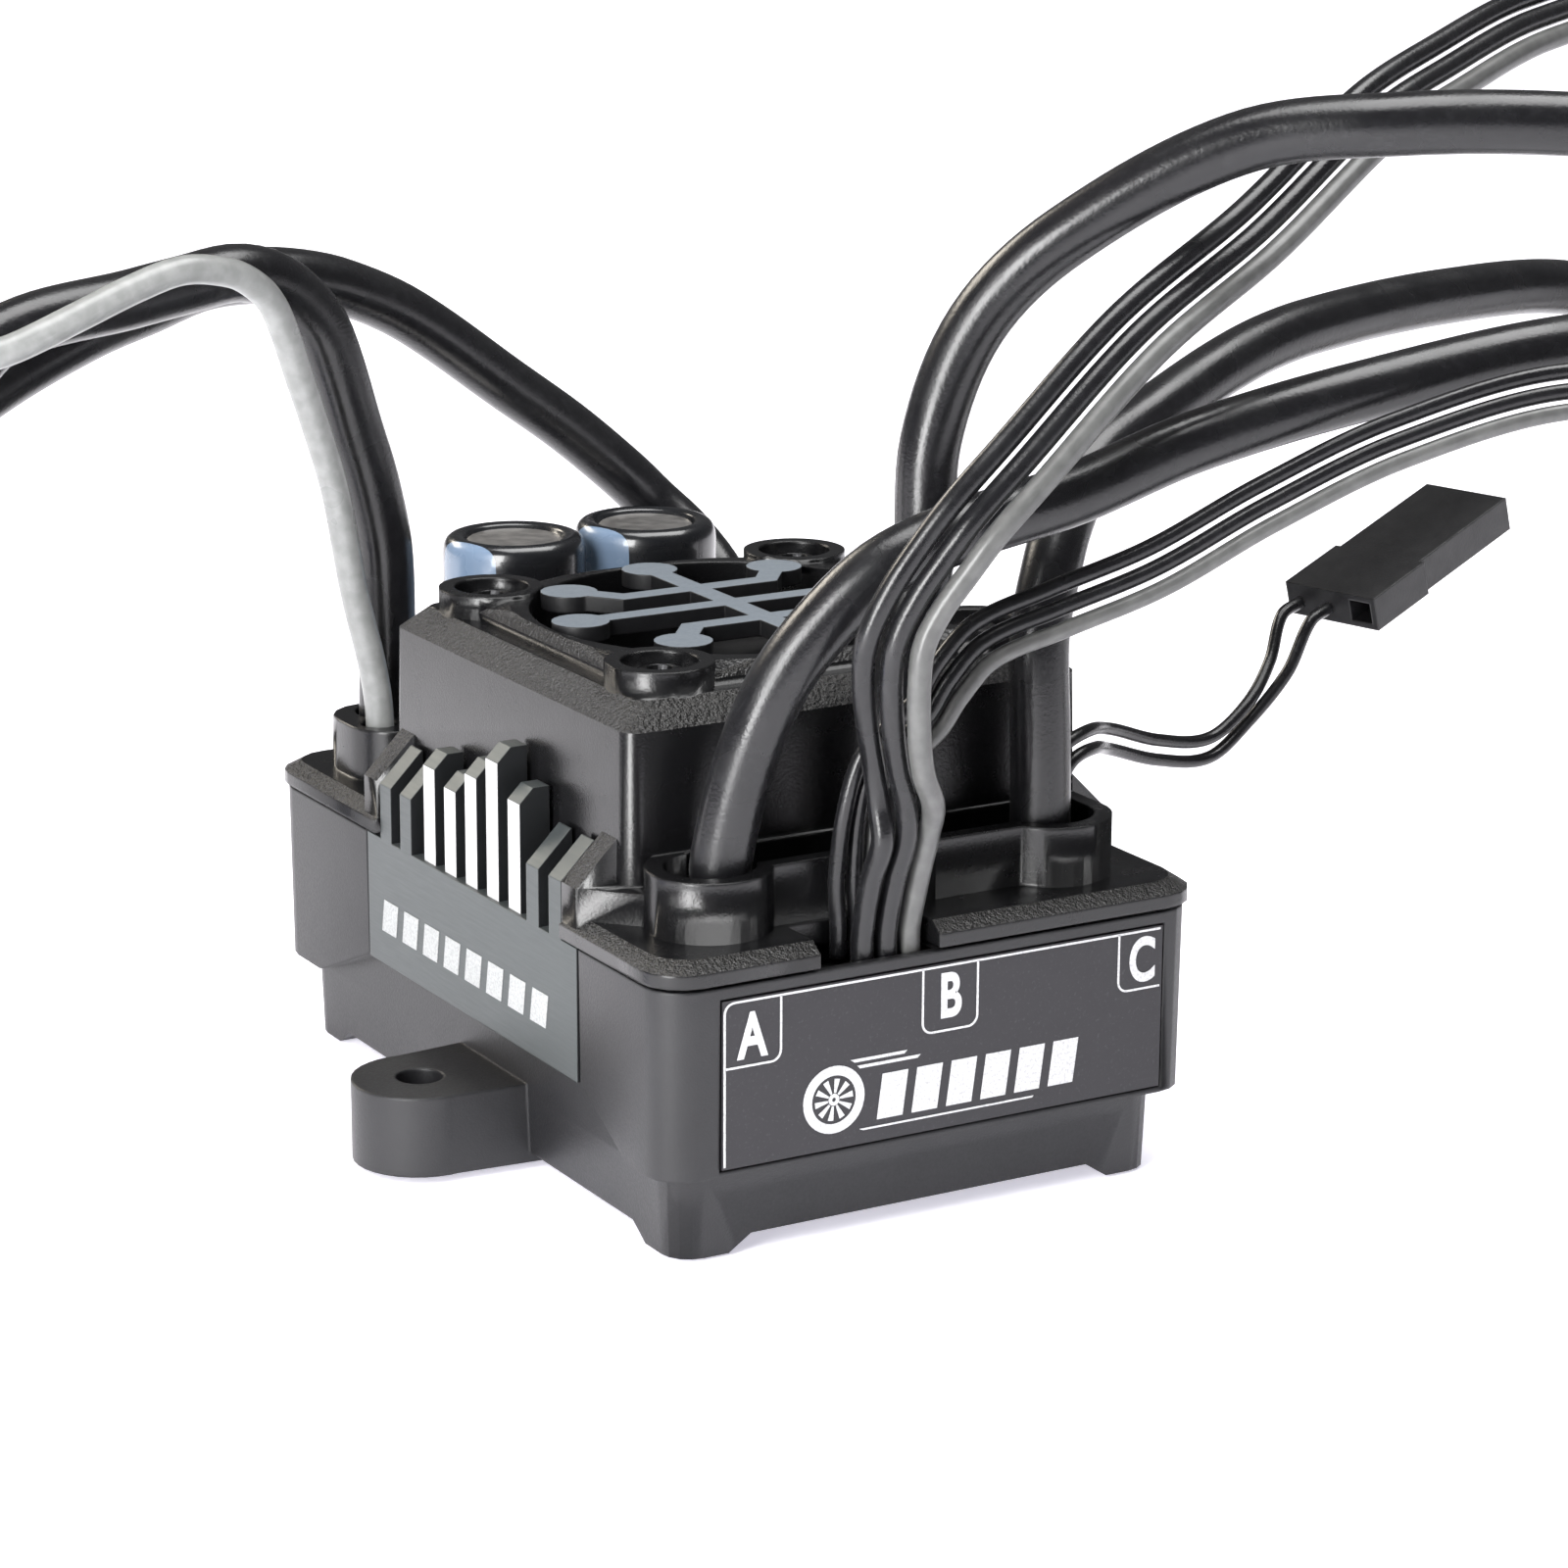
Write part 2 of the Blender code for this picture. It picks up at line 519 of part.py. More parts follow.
FAN_ROOM = FAN_SIZE / 2 + 0.4 * MM
carve(top_cover, stack_mesh((
    (LIP_BOTTOM - 1 * MM, FAN_ROOM, FAN_ROOM, 1.6 * MM),
    (ROOF_BOTTOM, FAN_ROOM, FAN_ROOM, 1.6 * MM),
), centre=(0.0, FAN_Y)))
carve(top_cover, cylinder_mesh(0.0, FAN_Y, ROOF_BOTTOM - 1 * MM, RIM_TOP + 1 * MM, OPENING, 48))
for side in (-1, 1):
    inner = side * (TOWER_HALF + TOWER_DRAFT - 0.05 * MM)
    out = side * (HALF_W + 2 * MM)
    carve(top_cover, box_mesh((min(inner, out), FAN_Y - SPAN - GAP, LIP_BOTTOM - 1 * MM),
                              (max(inner, out), FAN_Y + SPAN + GAP, TOWER_SHOULDER - 2 * MM)))
carve(top_cover, box_mesh((SLOT_LEFT, -HALF_L - 1 * MM, LIP_BOTTOM - 1 * MM),
                          (SLOT_RIGHT, SLOT_BACK, DECK + 0.05 * MM)))
for k in (-1, 0, 1):
    carve(top_cover, cylinder_mesh(MOTOR_X + k * MOTOR_PITCH, MOTOR_Y, LIP_BOTTOM - 1 * MM,
                                   COLLAR_TOP + 1 * MM, MOTOR_LEAD + 2 * LEAD_CLEARANCE, 20))
for place in (BATTERY_1, BATTERY_2):
    carve(top_cover, cylinder_mesh(*place, LIP_BOTTOM - 1 * MM, BACK_COLLAR_TOP + 1 * MM,
                                   BATTERY_LEAD + 2 * LEAD_CLEARANCE, 16))
carve(top_cover, cylinder_mesh(*DATA_PLACE, LIP_BOTTOM - 1 * MM, BACK_COLLAR_TOP + 1 * MM,
                               DATA_LEAD + 2 * LEAD_CLEARANCE, 12))
AUX_PLACE = (MOTOR_X + MOTOR_PITCH + 2.5 * MM, MOTOR_Y + 2.7 * MM)
for k in (-1, 1):
    carve(top_cover, cylinder_mesh(AUX_PLACE[0] + k * 0.7 * MM, AUX_PLACE[1], LIP_BOTTOM - 1 * MM,
                                   COLLAR_FLOOR + 0.5 * MM, AUX_WIRE + 0.6 * MM, 8))
for post_x, post_y in POST_PLACES:
    carve(top_cover, cylinder_mesh(post_x, post_y, FLOOR_TOP + GAP, LIP_BOTTOM + 0.8 * MM,
                                   POST_DIAMETER, 16), "UNION")
    carve(top_cover, cylinder_mesh(post_x, post_y, FLOOR_TOP - 1 * MM, 12.3 * MM, 2.6 * MM, 12))

# ---------------------------------------------------------------- case screws from below
for number, (post_x, post_y) in enumerate(POST_PLACES, 1):
    turned("case_screw_%d" % number, (
        (0.0, 12.0 * MM), (SCREW_SHANK / 2, 12.0 * MM), (SCREW_SHANK / 2, 1.7 * MM),
        (2.0 * MM, 1.7 * MM), (2.0 * MM, 1.1 * MM), (1.6 * MM, 0.8 * MM), (0.9 * MM, 0.8 * MM),
        (0.7 * MM, 1.2 * MM), (0.0, 1.2 * MM),
    ), STEEL, (post_x, post_y, 0.0), 12)

# ---------------------------------------------------------------- finned side plates
FIN_TOPS = (0.0, 0.0, 2.8, 2.0, 3.7, 5.5, 3.5, 0.0, 0.0)
FIN_BASE_TOP = SEAM_HEIGHT + 3.9 * MM


def fin_outline(side, index):
    """Side view of one fin: outer fins lean back over their whole depth, the middle ones end square."""
    inner_fin = 1 < index < FIN_COUNT - 2
    front = HALF_W - (0.3 * MM if inner_fin else 0.0)
    back = HALF_W - FIN_DEPTH
    top = FIN_BASE_TOP + FIN_TOPS[index] * MM
    lean = 1.0 * MM if inner_fin else front - back - 0.1 * MM
    low = SEAM_HEIGHT - 0.9 * MM
    shape = ((front, low), (front, top), (front - lean, top + lean), (back, top + lean), (back, low))
    return [(side * x, z) for x, z in shape]


for side, name in ((-1, "finned_plate_left"), (1, "finned_plate_right")):
    face = side * HALF_W
    back = side * (HALF_W - PLATE_THICKNESS)
    plate = new_object(name, box_mesh(
        (min(face, back), FAN_Y - PLATE_SPAN, PLATE_BOTTOM),
        (max(face, back), FAN_Y + PLATE_SPAN, SEAM_HEIGHT)), FIN_METAL)
    ledge = side * (HALF_W - FIN_DEPTH)
    carve(plate, box_mesh(
        (min(face - side * 0.3 * MM, ledge), FAN_Y - SPAN, SEAM_HEIGHT - 1.8 * MM),
        (max(face - side * 0.3 * MM, ledge), FAN_Y + SPAN, SEAM_HEIGHT - 0.05 * MM)), "UNION")
    fins = []
    for index in range(FIN_COUNT):
        middle = FAN_Y + SPAN - FIN_WIDTH / 2 - index * FIN_PITCH
        fins.append(prism_mesh(fin_outline(side, index), 1, middle - FIN_WIDTH / 2, middle + FIN_WIDTH / 2))
    carve(plate, several(fins), "UNION")

# ---------------------------------------------------------------- front label
front_label = new_object("front_label", box_mesh(
    (LABEL_LEFT, -HALF_L, LABEL_LOW), (LABEL_RIGHT, -HALF_L + 0.3 * MM, LABEL_HIGH)), LABEL_FILM)

# ---------------------------------------------------------------- boards, chips and heatsink
power_board = new_object("power_board", stack_mesh((
    (5.0 * MM, BAND_W - WALL - 0.4 * MM, BAND_L - WALL - 0.4 * MM, 1.6 * MM),
    (BOARD_TOP, BAND_W - WALL - 0.4 * MM, BAND_L - WALL - 0.4 * MM, 1.6 * MM),
)), BOARD_GREEN)
control_board = new_object("control_board", box_mesh(
    (CAN_X - 12.9 * MM, TOWER_BACK - 0.4 * MM, BOARD_TOP + 2.1 * MM),
    (CAN_X + 10.1 * MM, HALF_L - 9.0 * MM, BOARD_TOP + 3.3 * MM)), BOARD_GREEN)
for post_x, post_y in POST_PLACES:
    carve(power_board, cylinder_mesh(post_x, post_y, 4 * MM, 8 * MM, POST_DIAMETER + 0.6 * MM, 20))
new_object("board_header", box_mesh((-6 * MM, TOWER_BACK + 1 * MM, BOARD_TOP + GAP),
                                    (6 * MM, TOWER_BACK + 3 * MM, BOARD_TOP + 1.8 * MM)), CHIP_BLACK)
new_object("signal_header", box_mesh(
    (SLOT_RIGHT - 3.2 * MM, -HALF_L + WALL + BAND_INSET + 0.3 * MM, BOARD_TOP + GAP),
    (SLOT_RIGHT - 0.5 * MM, MOTOR_Y - 1.5 * MM, SEAM_HEIGHT - 0.7 * MM)), CHIP_BLACK)
chip = 0
for chip_x in (-7 * MM, 7 * MM):
    for chip_y in (FAN_Y - 7 * MM, FAN_Y + 7 * MM):
        chip += 1
        new_object("mosfet_%d" % chip, box_mesh(
            (chip_x - 4 * MM, chip_y - 3 * MM, BOARD_TOP + GAP),
            (chip_x + 4 * MM, chip_y + 3 * MM, BOARD_TOP + GAP + 1.2 * MM)), CHIP_BLACK)
PAD_LOW = BOARD_TOP + 2 * GAP + 1.2 * MM
new_object("thermal_pad", box_mesh((-13 * MM, FAN_Y - 12 * MM, PAD_LOW),
                                   (13 * MM, FAN_Y + 12 * MM, PAD_LOW + 0.6 * MM)), PAD_GREY)
SINK_LOW = PAD_LOW + 0.6 * MM + GAP
comb = [(-15.0 * MM, SINK_LOW), (15.0 * MM, SINK_LOW)]
for index in range(8):
    right = 15.0 * MM - index * 4.1 * MM
    comb += [(right, 21.2 * MM), (right - 1.3 * MM, 21.2 * MM)]
    if index < 7:
        comb += [(right - 1.3 * MM, SINK_LOW + 3.2 * MM), (right - 4.1 * MM, SINK_LOW + 3.2 * MM)]
comb[-1] = (-15.0 * MM, 21.2 * MM)
new_object("heatsink", prism_mesh(comb, 1, FAN_Y - 14.4 * MM, FAN_Y + 14.4 * MM), RAW_ALUMINIUM)

TAB_TOP = SEAM_HEIGHT + 0.2 * MM
LEAD_START = LIP_BOTTOM + 0.5 * MM
TABS = (
    ("motor_tab_a", MOTOR_X - MOTOR_PITCH, MOTOR_Y),
    ("motor_tab_b", MOTOR_X, MOTOR_Y),
    ("motor_tab_c", MOTOR_X + MOTOR_PITCH, MOTOR_Y),
    ("battery_tab_1", BATTERY_1[0], BATTERY_1[1]),
    ("battery_tab_2", BATTERY_2[0], BATTERY_2[1] - 1.4 * MM),
)
for name, tab_x, tab_y in TABS:
    new_object(name, box_mesh((tab_x - 0.9 * MM, tab_y - 1.2 * MM, BOARD_TOP + GAP),
                              (tab_x + 0.9 * MM, tab_y + 1.2 * MM, TAB_TOP)), COPPER)

# ---------------------------------------------------------------- fan
fan_frame = new_object("fan_frame", stack_mesh((
    (FAN_BOTTOM, FAN_SIZE / 2, FAN_SIZE / 2, 1.5 * MM),
    (FAN_TOP, FAN_SIZE / 2, FAN_SIZE / 2, 1.5 * MM),
), centre=(0.0, FAN_Y)), FAN_PLASTIC)
carve(fan_frame, cylinder_mesh(0.0, FAN_Y, FAN_BOTTOM - 1 * MM, FAN_TOP + 1 * MM, FAN_BORE, 40))
for sx in (-1, 1):
    for sy in (-1, 1):
        carve(fan_frame, cylinder_mesh(sx * FAN_HOLE_PITCH / 2, FAN_Y + sy * FAN_HOLE_PITCH / 2,
                                       FAN_BOTTOM - 1 * MM, FAN_TOP + 1 * MM, 3.0 * MM, 16))
STRUT_TOP = FAN_BOTTOM + 1.2 * MM
reach = FAN_BORE / 2 + 0.3 * MM
carve(fan_frame, box_mesh((-reach, FAN_Y - 0.8 * MM, FAN_BOTTOM), (reach, FAN_Y + 0.8 * MM, STRUT_TOP)), "UNION")
carve(fan_frame, box_mesh((-0.8 * MM, FAN_Y - reach, FAN_BOTTOM), (0.8 * MM, FAN_Y + reach, STRUT_TOP)), "UNION")
carve(fan_frame, cylinder_mesh(0.0, FAN_Y, FAN_BOTTOM, STRUT_TOP, FAN_HUB - 1 * MM, 28), "UNION")
carve(fan_frame, cylinder_mesh(0.0, FAN_Y, FAN_BOTTOM - 1 * MM, STRUT_TOP + 1 * MM, 2.6 * MM, 16))
new_object("fan_shaft", cylinder_mesh(0.0, FAN_Y, FAN_BOTTOM + 0.2 * MM, FAN_BOTTOM + 5.2 * MM,
                                      2.0 * MM, 16), STEEL, smooth=True)

ROTOR_LOW = STRUT_TOP + 0.5 * MM
ROTOR_HIGH = FAN_TOP - 0.3 * MM
ROTOR_DEPTH = ROTOR_HIGH - ROTOR_LOW
fan_rotor = turned("fan_rotor", (
    (0.0, ROTOR_DEPTH), (FAN_HUB / 2 - 0.5 * MM, ROTOR_DEPTH), (FAN_HUB / 2, ROTOR_DEPTH - 0.5 * MM),
    (FAN_HUB / 2, 0.0), (1.3 * MM, 0.0), (1.3 * MM, 4.2 * MM), (0.0, 4.2 * MM),
), FAN_PLASTIC, (0.0, FAN_Y, ROTOR_LOW), 28)


def blade_mesh(turn):
    """One fan blade: a thin skewed sheet from inside the hub to the tip."""
    rings = []
    for radius, spread, lean in ((FAN_HUB / 2 - 0.4 * MM, 0.44, 0.0),
                                 (FAN_HUB / 2 + 3.4 * MM, 0.33, 0.12),
                                 (FAN_BORE / 2 - 0.7 * MM, 0.27, 0.26)):
        half = spread
        low_z = 0.7 * MM
        high_z = ROTOR_DEPTH - 0.7 * MM
        thick = 0.55 * MM
        ring = []
        for angle, z in ((turn + lean - half, low_z), (turn + lean + half, high_z),
                         (turn + lean + half, high_z + thick), (turn + lean - half, low_z + thick)):
            ring.append((radius * math.cos(angle), radius * math.sin(angle), z))
        rings.append(ring)
    return loft_mesh(rings)


blades = new_object("fan_rotor_blades", several(
    [blade_mesh(2 * math.pi * i / FAN_BLADES) for i in range(FAN_BLADES)]), None, cutters)
blades.hide_render = True
blades.display_type = "WIRE"
blades.location = fan_rotor.location
join = fan_rotor.modifiers.new("blades", "BOOLEAN")
join.operation = "UNION"
join.solver = "EXACT"
join.object = blades

# ---------------------------------------------------------------- fan guard: branching track pattern
GUARD_LOW = RIM_TOP - 0.8 * MM
GUARD_HIGH = BOSS_TOP
DISC = 3.9 * MM
DISC_RING = OPENING / 2 - DISC / 2 - 0.25 * MM
BAR = 0.8 * MM
BRANCH = 4.8 * MM
diagonal = DISC_RING * math.sqrt(0.5)


def bar_mesh(start, end, half):
    """Flat bar of the guard between two points."""
    a = Vector(start)
    b = Vector(end)
    along = (b - a).normalized()
    across = Vector((-along.y, along.x)) * half
    corners = [a - across, b - across, b + across, a + across]
    return prism_mesh([(c.x, c.y + FAN_Y) for c in corners], 2, GUARD_LOW, GUARD_HIGH)


guard = new_object("fan_guard", bar_mesh((0.0, -DISC_RING), (0.0, DISC_RING), BAR * 1.05), GUARD_PAINT)
carve(guard, bar_mesh((-DISC_RING, 0.0), (DISC_RING, 0.0), BAR), "UNION")
for sy in (-1, 1):
    carve(guard, bar_mesh((-BRANCH * 1.25, sy * BRANCH), (BRANCH * 1.25, sy * BRANCH), BAR), "UNION")
    for sx in (-1, 1):
        carve(guard, bar_mesh((sx * BRANCH * 1.12, sy * (BRANCH - 0.25 * MM)),
                              (sx * diagonal, sy * diagonal), BAR), "UNION")
for step in range(8):
    angle = math.radians(45 * step)
    carve(guard, cylinder_mesh(DISC_RING * math.cos(angle), FAN_Y + DISC_RING * math.sin(angle),
                               GUARD_LOW, GUARD_HIGH, DISC, 20), "UNION")

number = 0
for sy in (-1, 1):
    for sx in (-1, 1):
        number += 1
        turned("fan_screw_%d" % number, (
            (0.0, -0.5 * MM), (0.7 * MM, -0.5 * MM), (0.9 * MM, 0.0), (1.5 * MM, -0.1 * MM),
            (2.1 * MM, -0.5 * MM), (2.3 * MM, -1.2 * MM), (1.2 * MM, -1.2 * MM), (1.2 * MM, -11.6 * MM),
            (0.0, -11.6 * MM),
        ), STEEL, (sx * FAN_HOLE_PITCH / 2, FAN_Y + sy * FAN_HOLE_PITCH / 2,
                   SCREW_SEAT + GAP + 1.2 * MM), 16)

# ---------------------------------------------------------------- capacitors
for number, can_x in enumerate((CAN_X - CAN_PITCH / 2, CAN_X + CAN_PITCH / 2), 1):
    tall = CAN_TOP - DECK - GAP
    turned("capacitor_%d" % number, (
        (0.0, tall - 0.25 * MM), (CAN_DIAMETER / 2 - 1.3 * MM, tall - 0.25 * MM),
        (CAN_DIAMETER / 2 - 1.0 * MM, tall), (CAN_DIAMETER / 2 - 0.4 * MM, tall - 0.15 * MM),
        (CAN_DIAMETER / 2, tall - 0.8 * MM), (CAN_DIAMETER / 2, 0.3 * MM),
        (CAN_DIAMETER / 2 - 0.4 * MM, 0.0), (0.0, 0.0),
    ), SLEEVE, (can_x, CAN_Y, DECK + GAP), 24)

# ---------------------------------------------------------------- leads
lead_a = cord("motor_lead_a", route((MOTOR_X - MOTOR_PITCH, MOTOR_Y, LEAD_START), (
    (0, 0, 0), (0, 0, 3), (0, 0, 5.5), (1.3, -0.7, 11.8), (3.2, -1.7, 17), (6.2, -2.7, 21),
    (9.5, -3.7, 24), (14, -4.5, 25.8), (22.6, -5.2, 27.6), (31, -6.2, 30.3), (42.7, -7.4, 32.6),
    (58.9, -9.2, 34.7), (70, -10.2, 34.0), (80, -10.5, 29.8), (87, -10.6, 21.5), (91, -10.7, 10),
    (94.5, -10.7, -2), (99.5, -10.7, -11.5), (105.5, -10.7, -16.3), (112, -10.7, -16.9),
)), MOTOR_LEAD, WIRE_BLACK, 1.7)
lead_b = cord("motor_lead_b", route((MOTOR_X, MOTOR_Y, LEAD_START), (
    (0, 0, 0), (0, 0, 3), (0.2, 0, 6), (1, 0.2, 15.1), (3.5, 1.3, 22.5), (4.3, 1.8, 30.5),
    (7, 0.8, 37.9), (11.6, -2.2, 43.5), (20.5, -8.2, 49.5), (28.1, -14.2, 50.9), (37.6, -19.2, 50.9),
    (50, -23.5, 49.5), (60.5, -25.5, 44.3), (68, -26.5, 35.3), (72.5, -27, 23.3), (75.5, -27.2, 10.3),
    (79, -27.4, -2.7), (84.5, -27.6, -12.2), (92, -27.7, -16.3), (99, -27.7, -16.9),
)), MOTOR_LEAD, WIRE_BLACK, 1.7)
lead_c = cord("motor_lead_c", route((MOTOR_X + MOTOR_PITCH, MOTOR_Y, LEAD_START), (
    (0, 0, 0), (0, 0, 3), (0, 0, 5.2), (0, 0.2, 10.8), (0.2, 0.8, 17), (1.7, 1.8, 21.1),
    (4.2, 3.8, 24.3), (7.4, 5.8, 26.8), (12.4, 7.8, 28.5), (22.8, 11.3, 31.6), (30.1, 13.3, 32.8),
    (44.9, 16.8, 33.3), (58.9, 19.8, 32.4), (66, 21, 29.4), (70.5, 21.8, 22.5), (72.5, 22.3, 12.5),
    (74, 22.7, 1.5), (76.5, 23, -8.5), (81, 23.2, -15), (88, 23.3, -16.9),
)), MOTOR_LEAD, WIRE_BLACK, 1.7)

battery_1 = cord("battery_lead_1", route((BATTERY_1[0], BATTERY_1[1], LEAD_START), (
    (0, 0, 0), (0, 0, 4), (0.1, 0, 16), (-1, -0.3, 21.5), (-2.4, -0.5, 25.9), (-3.7, -0.8, 30),
    (-4.9, -1, 33), (-6.4, -1.3, 34.9), (-8.3, -1.7, 36.4), (-10.2, -2.1, 37.2), (-12.4, -2.6, 37.5),
    (-15.8, -3.2, 37.1), (-19.6, -3.8, 36.6), (-29.7, -5, 35), (-34, -6.3, 31), (-37.6, -8, 25.5),
    (-41.6, -9.3, 17), (-44, -10.3, 8), (-45.8, -11, -0.5), (-48.6, -11.7, -9.6), (-52.8, -12, -14.3),
    (-59, -12, -14.7),
)), BATTERY_LEAD, WIRE_BLACK, 1.7)
battery_2 = cord("battery_lead_2", route((BATTERY_2[0], BATTERY_2[1], LEAD_START), (
    (0, 0, 0), (0, 0, 3), (0, 0, 5.9), (-0.2, 1.8, 10.1), (-1.3, 5.4, 13.4), (-3.3, 7.2, 15.8),
    (-5.5, 7.4, 18), (-10.2, 7.4, 22), (-15.3, 7, 25.7), (-23.9, 6, 31.8), (-29.4, 5.2, 34.4),
    (-33, 4.6, 35.4), (-37.1, 3.9, 35.9), (-41.2, 3, 35.8), (-45.3, 2, 34.8), (-50.5, 0.8, 33.5),
    (-58.3, -1.2, 30.6), (-65.6, -2.6, 26.4), (-70.4, -3.3, 19.5), (-72.8, -3.7, 10.5), (-74.4, -3.9, 0.5),
    (-77.2, -4, -9), (-81.8, -4, -14.2), (-88.4, -4, -14.7),
)), BATTERY_LEAD, WIRE_BLACK, 1.7)
data_lead = cord("data_lead", route((DATA_PLACE[0], DATA_PLACE[1], LEAD_START), (
    (0, 0, 0), (0, 0, 5.6), (-0.5, -0.1, 9), (-2, -0.6, 14.6), (-3.6, -1.2, 22.2), (-5.3, -1.9, 27.1),
    (-6.7, -2.5, 30.7), (-8.1, -3.1, 34.3), (-9.2, -3.6, 36.2), (-10.8, -4.2, 37.6), (-12.7, -4.8, 38.5),
    (-16.2, -5.6, 39), (-19.8, -6.2, 38.2), (-24.2, -6.8, 36.7), (-28.5, -7.2, 35.2), (-33, -6.6, 33.8),
    (-37.6, -5, 30.4), (-42, -3.9, 23.5), (-44.6, -4.2, 13), (-46, -4.7, 1), (-48.5, -4.9, -8.4),
    (-52, -5, -14.1), (-57, -5, -14.7),
)), DATA_LEAD, WIRE_GREY)

SIGNAL_ANCHOR = (MOTOR_X - 2.6 * MM, -HALF_L + 1.6 * MM, SEAM_HEIGHT - 0.4 * MM)
SIGNAL_ROUTE = (
    (0, 0, 0, 1.7, 0, 0), (0, 0, 1.8, 1.7, 0, 0), (0.2, -0.7, 5.4, 1.75, 0, 0), (0.4, -1.6, 8.2, 1.65, 0, 0),
    (0.1, -2.1, 10.5, 1.4, -0.9, 0), (-0.8, -2.6, 13.1, 0.9, -1.4, 0), (-1.5, -3.1, 15.8, 1.0, -1.35, 0),
    (-2, -3.6, 19.1, 1.3, -1.1, 0), (-2, -4.1, 21.7, 1.5, -0.8, -0.2), (-0.9, -4.6, 24.3, 1.4, -0.7, -0.6),
    (0.7, -5.1, 26.7, 1.15, -0.75, -0.95), (2.6, -5.6, 29.2, 1.05, -0.8, -1.0),
    (5.7, -5.6, 32, 1.0, -0.8, -1.05), (15.1, -4.6, 39.5, 1.0, -0.8, -1.05),
    (26.3, -1.6, 44.7, 0.7, -0.8, -1.25), (38.1, 2.4, 50.8, 0.7, -0.9, -1.2),
    (46, 5.4, 53.1, 0.5, -0.9, -1.3), (56.9, 9.4, 55.5, 0.4, -0.9, -1.3), (69, 12.4, 56.2, 0.1, -1, -1.3),
    (79, 14, 52.5, -0.4, -1.1, -1.15), (86, 15, 44, -0.8, -1.2, -0.7), (89.5, 15.6, 32, -0.7, -1.45, -0.3),
    (91.2, 16, 18, -0.4, -1.6, 0), (92.5, 16.2, 4, -0.2, -1.65, 0), (94, 16.3, -7, 0, -1.65, 0),
    (97, 16.4, -14.6, 0, -1.8, 0), (102, 16.4, -17, 0, -2.5, 0),
)
for letter, place, mat in (("a", -1, WIRE_BLACK), ("b", 0, WIRE_BLACK), ("c", 1, WIRE_GREY)):
    cord("signal_wire_" + letter, ribbon(SIGNAL_ANCHOR, SIGNAL_ROUTE, 1.03 * place), SIGNAL_WIRE, mat, 3.0)

SENSOR_ANCHOR = (MOTOR_X - 3.9 * MM, -HALF_L + 3.1 * MM, SEAM_HEIGHT - 0.4 * MM)
SENSOR_ROUTE = (
    (0, 0, 0, 1.2, 0, 0), (0, 0, 2.2, 1.2, 0, 0), (-0.2, -0.1, 5.2, 1.2, 0, 0), (-0.1, -0.4, 9.5, 1.1, 0.3, -0.3),
    (0.6, -0.8, 12.3, 0.8, 0.2, -0.9), (2.2, -1.2, 13.9, 0.5, 0, -1.1), (4.2, -1.5, 15.5, 0.6, -0.2, -1.0),
    (5.7, -1.7, 17.7, 0.6, -0.3, -1.0), (8, -2.1, 20, 0.4, -0.4, -1.05), (12.7, -3.1, 21.7, 0.2, -0.5, -1.1),
    (19.3, -4.6, 24, 0.2, -0.5, -1.1), (26.6, -6.1, 27.6, 0.25, -0.5, -1.05), (35, -8.6, 31.4, 0.2, -0.6, -1.0),
    (45.9, -12.1, 34.2, 0, -0.6, -1.05), (55.9, -14.6, 32.8, -0.25, -0.75, -1.0), (63.4, -16.1, 26.5, -0.6, -0.9, -0.6),
    (68.4, -16.5, 17.5, -0.55, -1.05, -0.3), (71.6, -16.6, 6.5, -0.25, -1.15, -0.1), (74.7, -16.6, -5, 0, -1.18, 0),
    (79.4, -16.6, -13.4, 0, -1.2, 0), (86.4, -16.6, -16.9, 0, -1.3, 0), (94.4, -16.6, -17.3, 0, -2.5, 0),
)
for letter, place, mat in (("a", -1, WIRE_BLACK), ("b", 0, WIRE_BLACK), ("c", 1, WIRE_GREY)):
    cord("sensor_wire_" + letter, ribbon(SENSOR_ANCHOR, SENSOR_ROUTE, 1.12 * place), SENSOR_WIRE, mat, 3.0)

AUX_PLUG_TURN = Euler((0.0, math.radians(-16.8), math.radians(15.8)))
AUX_PLUG_SIZE = (16.6 * MM, 7.8 * MM, 2.5 * MM)
PLUG_GRIP = 6.0 * MM
AUX_PLUG_MIDDLE = Vector((AUX_PLACE[0], AUX_PLACE[1], LEAD_START)) + Vector((36.8, 10.64, 15.58)) * MM
AUX_ROUTE = ((0, 0, 0), (0, 0, 3.4), (0, -0.2, 6.0), (1.0, -0.2, 7.9), (3.6, 0.8, 8.5), (7.1, 3.6, 7.5),
             (12.7, 5.6, 5.5), (17.6, 6.6, 4.8), (21.2, 7.3, 6.6), (24.4, 8.1, 9.4))
for letter, slot, shift in (("a", -1 / 3, 0.7), ("b", 0.0, -0.7)):
    socket = Vector((-AUX_PLUG_SIZE[0] / 2 - GAP, -slot * AUX_PLUG_SIZE[1] * 0.98, 0.0))
    lead_in = socket + Vector((-2.2 * MM, 0.0, 0.0))
    socket.rotate(AUX_PLUG_TURN)
    lead_in.rotate(AUX_PLUG_TURN)
    points = [Vector(AUX_PLACE + (LEAD_START,)) + Vector(p) * MM for p in AUX_ROUTE]
    for index, point in enumerate(points):
        share = min(1.0, max(0.0, (index - 2) / 3))
        side_way = Vector((-math.cos(share * math.pi / 2), 0.0, math.sin(share * math.pi / 2))) * shift
        if index == len(points) - 1:
            side_way = Vector((-0.3, 1.1, 0.35)) * shift
        point += side_way * MM
    points += [AUX_PLUG_MIDDLE + lead_in, AUX_PLUG_MIDDLE + socket]
    cord("aux_wire_" + letter, points, AUX_WIRE, WIRE_BLACK, 3.0)


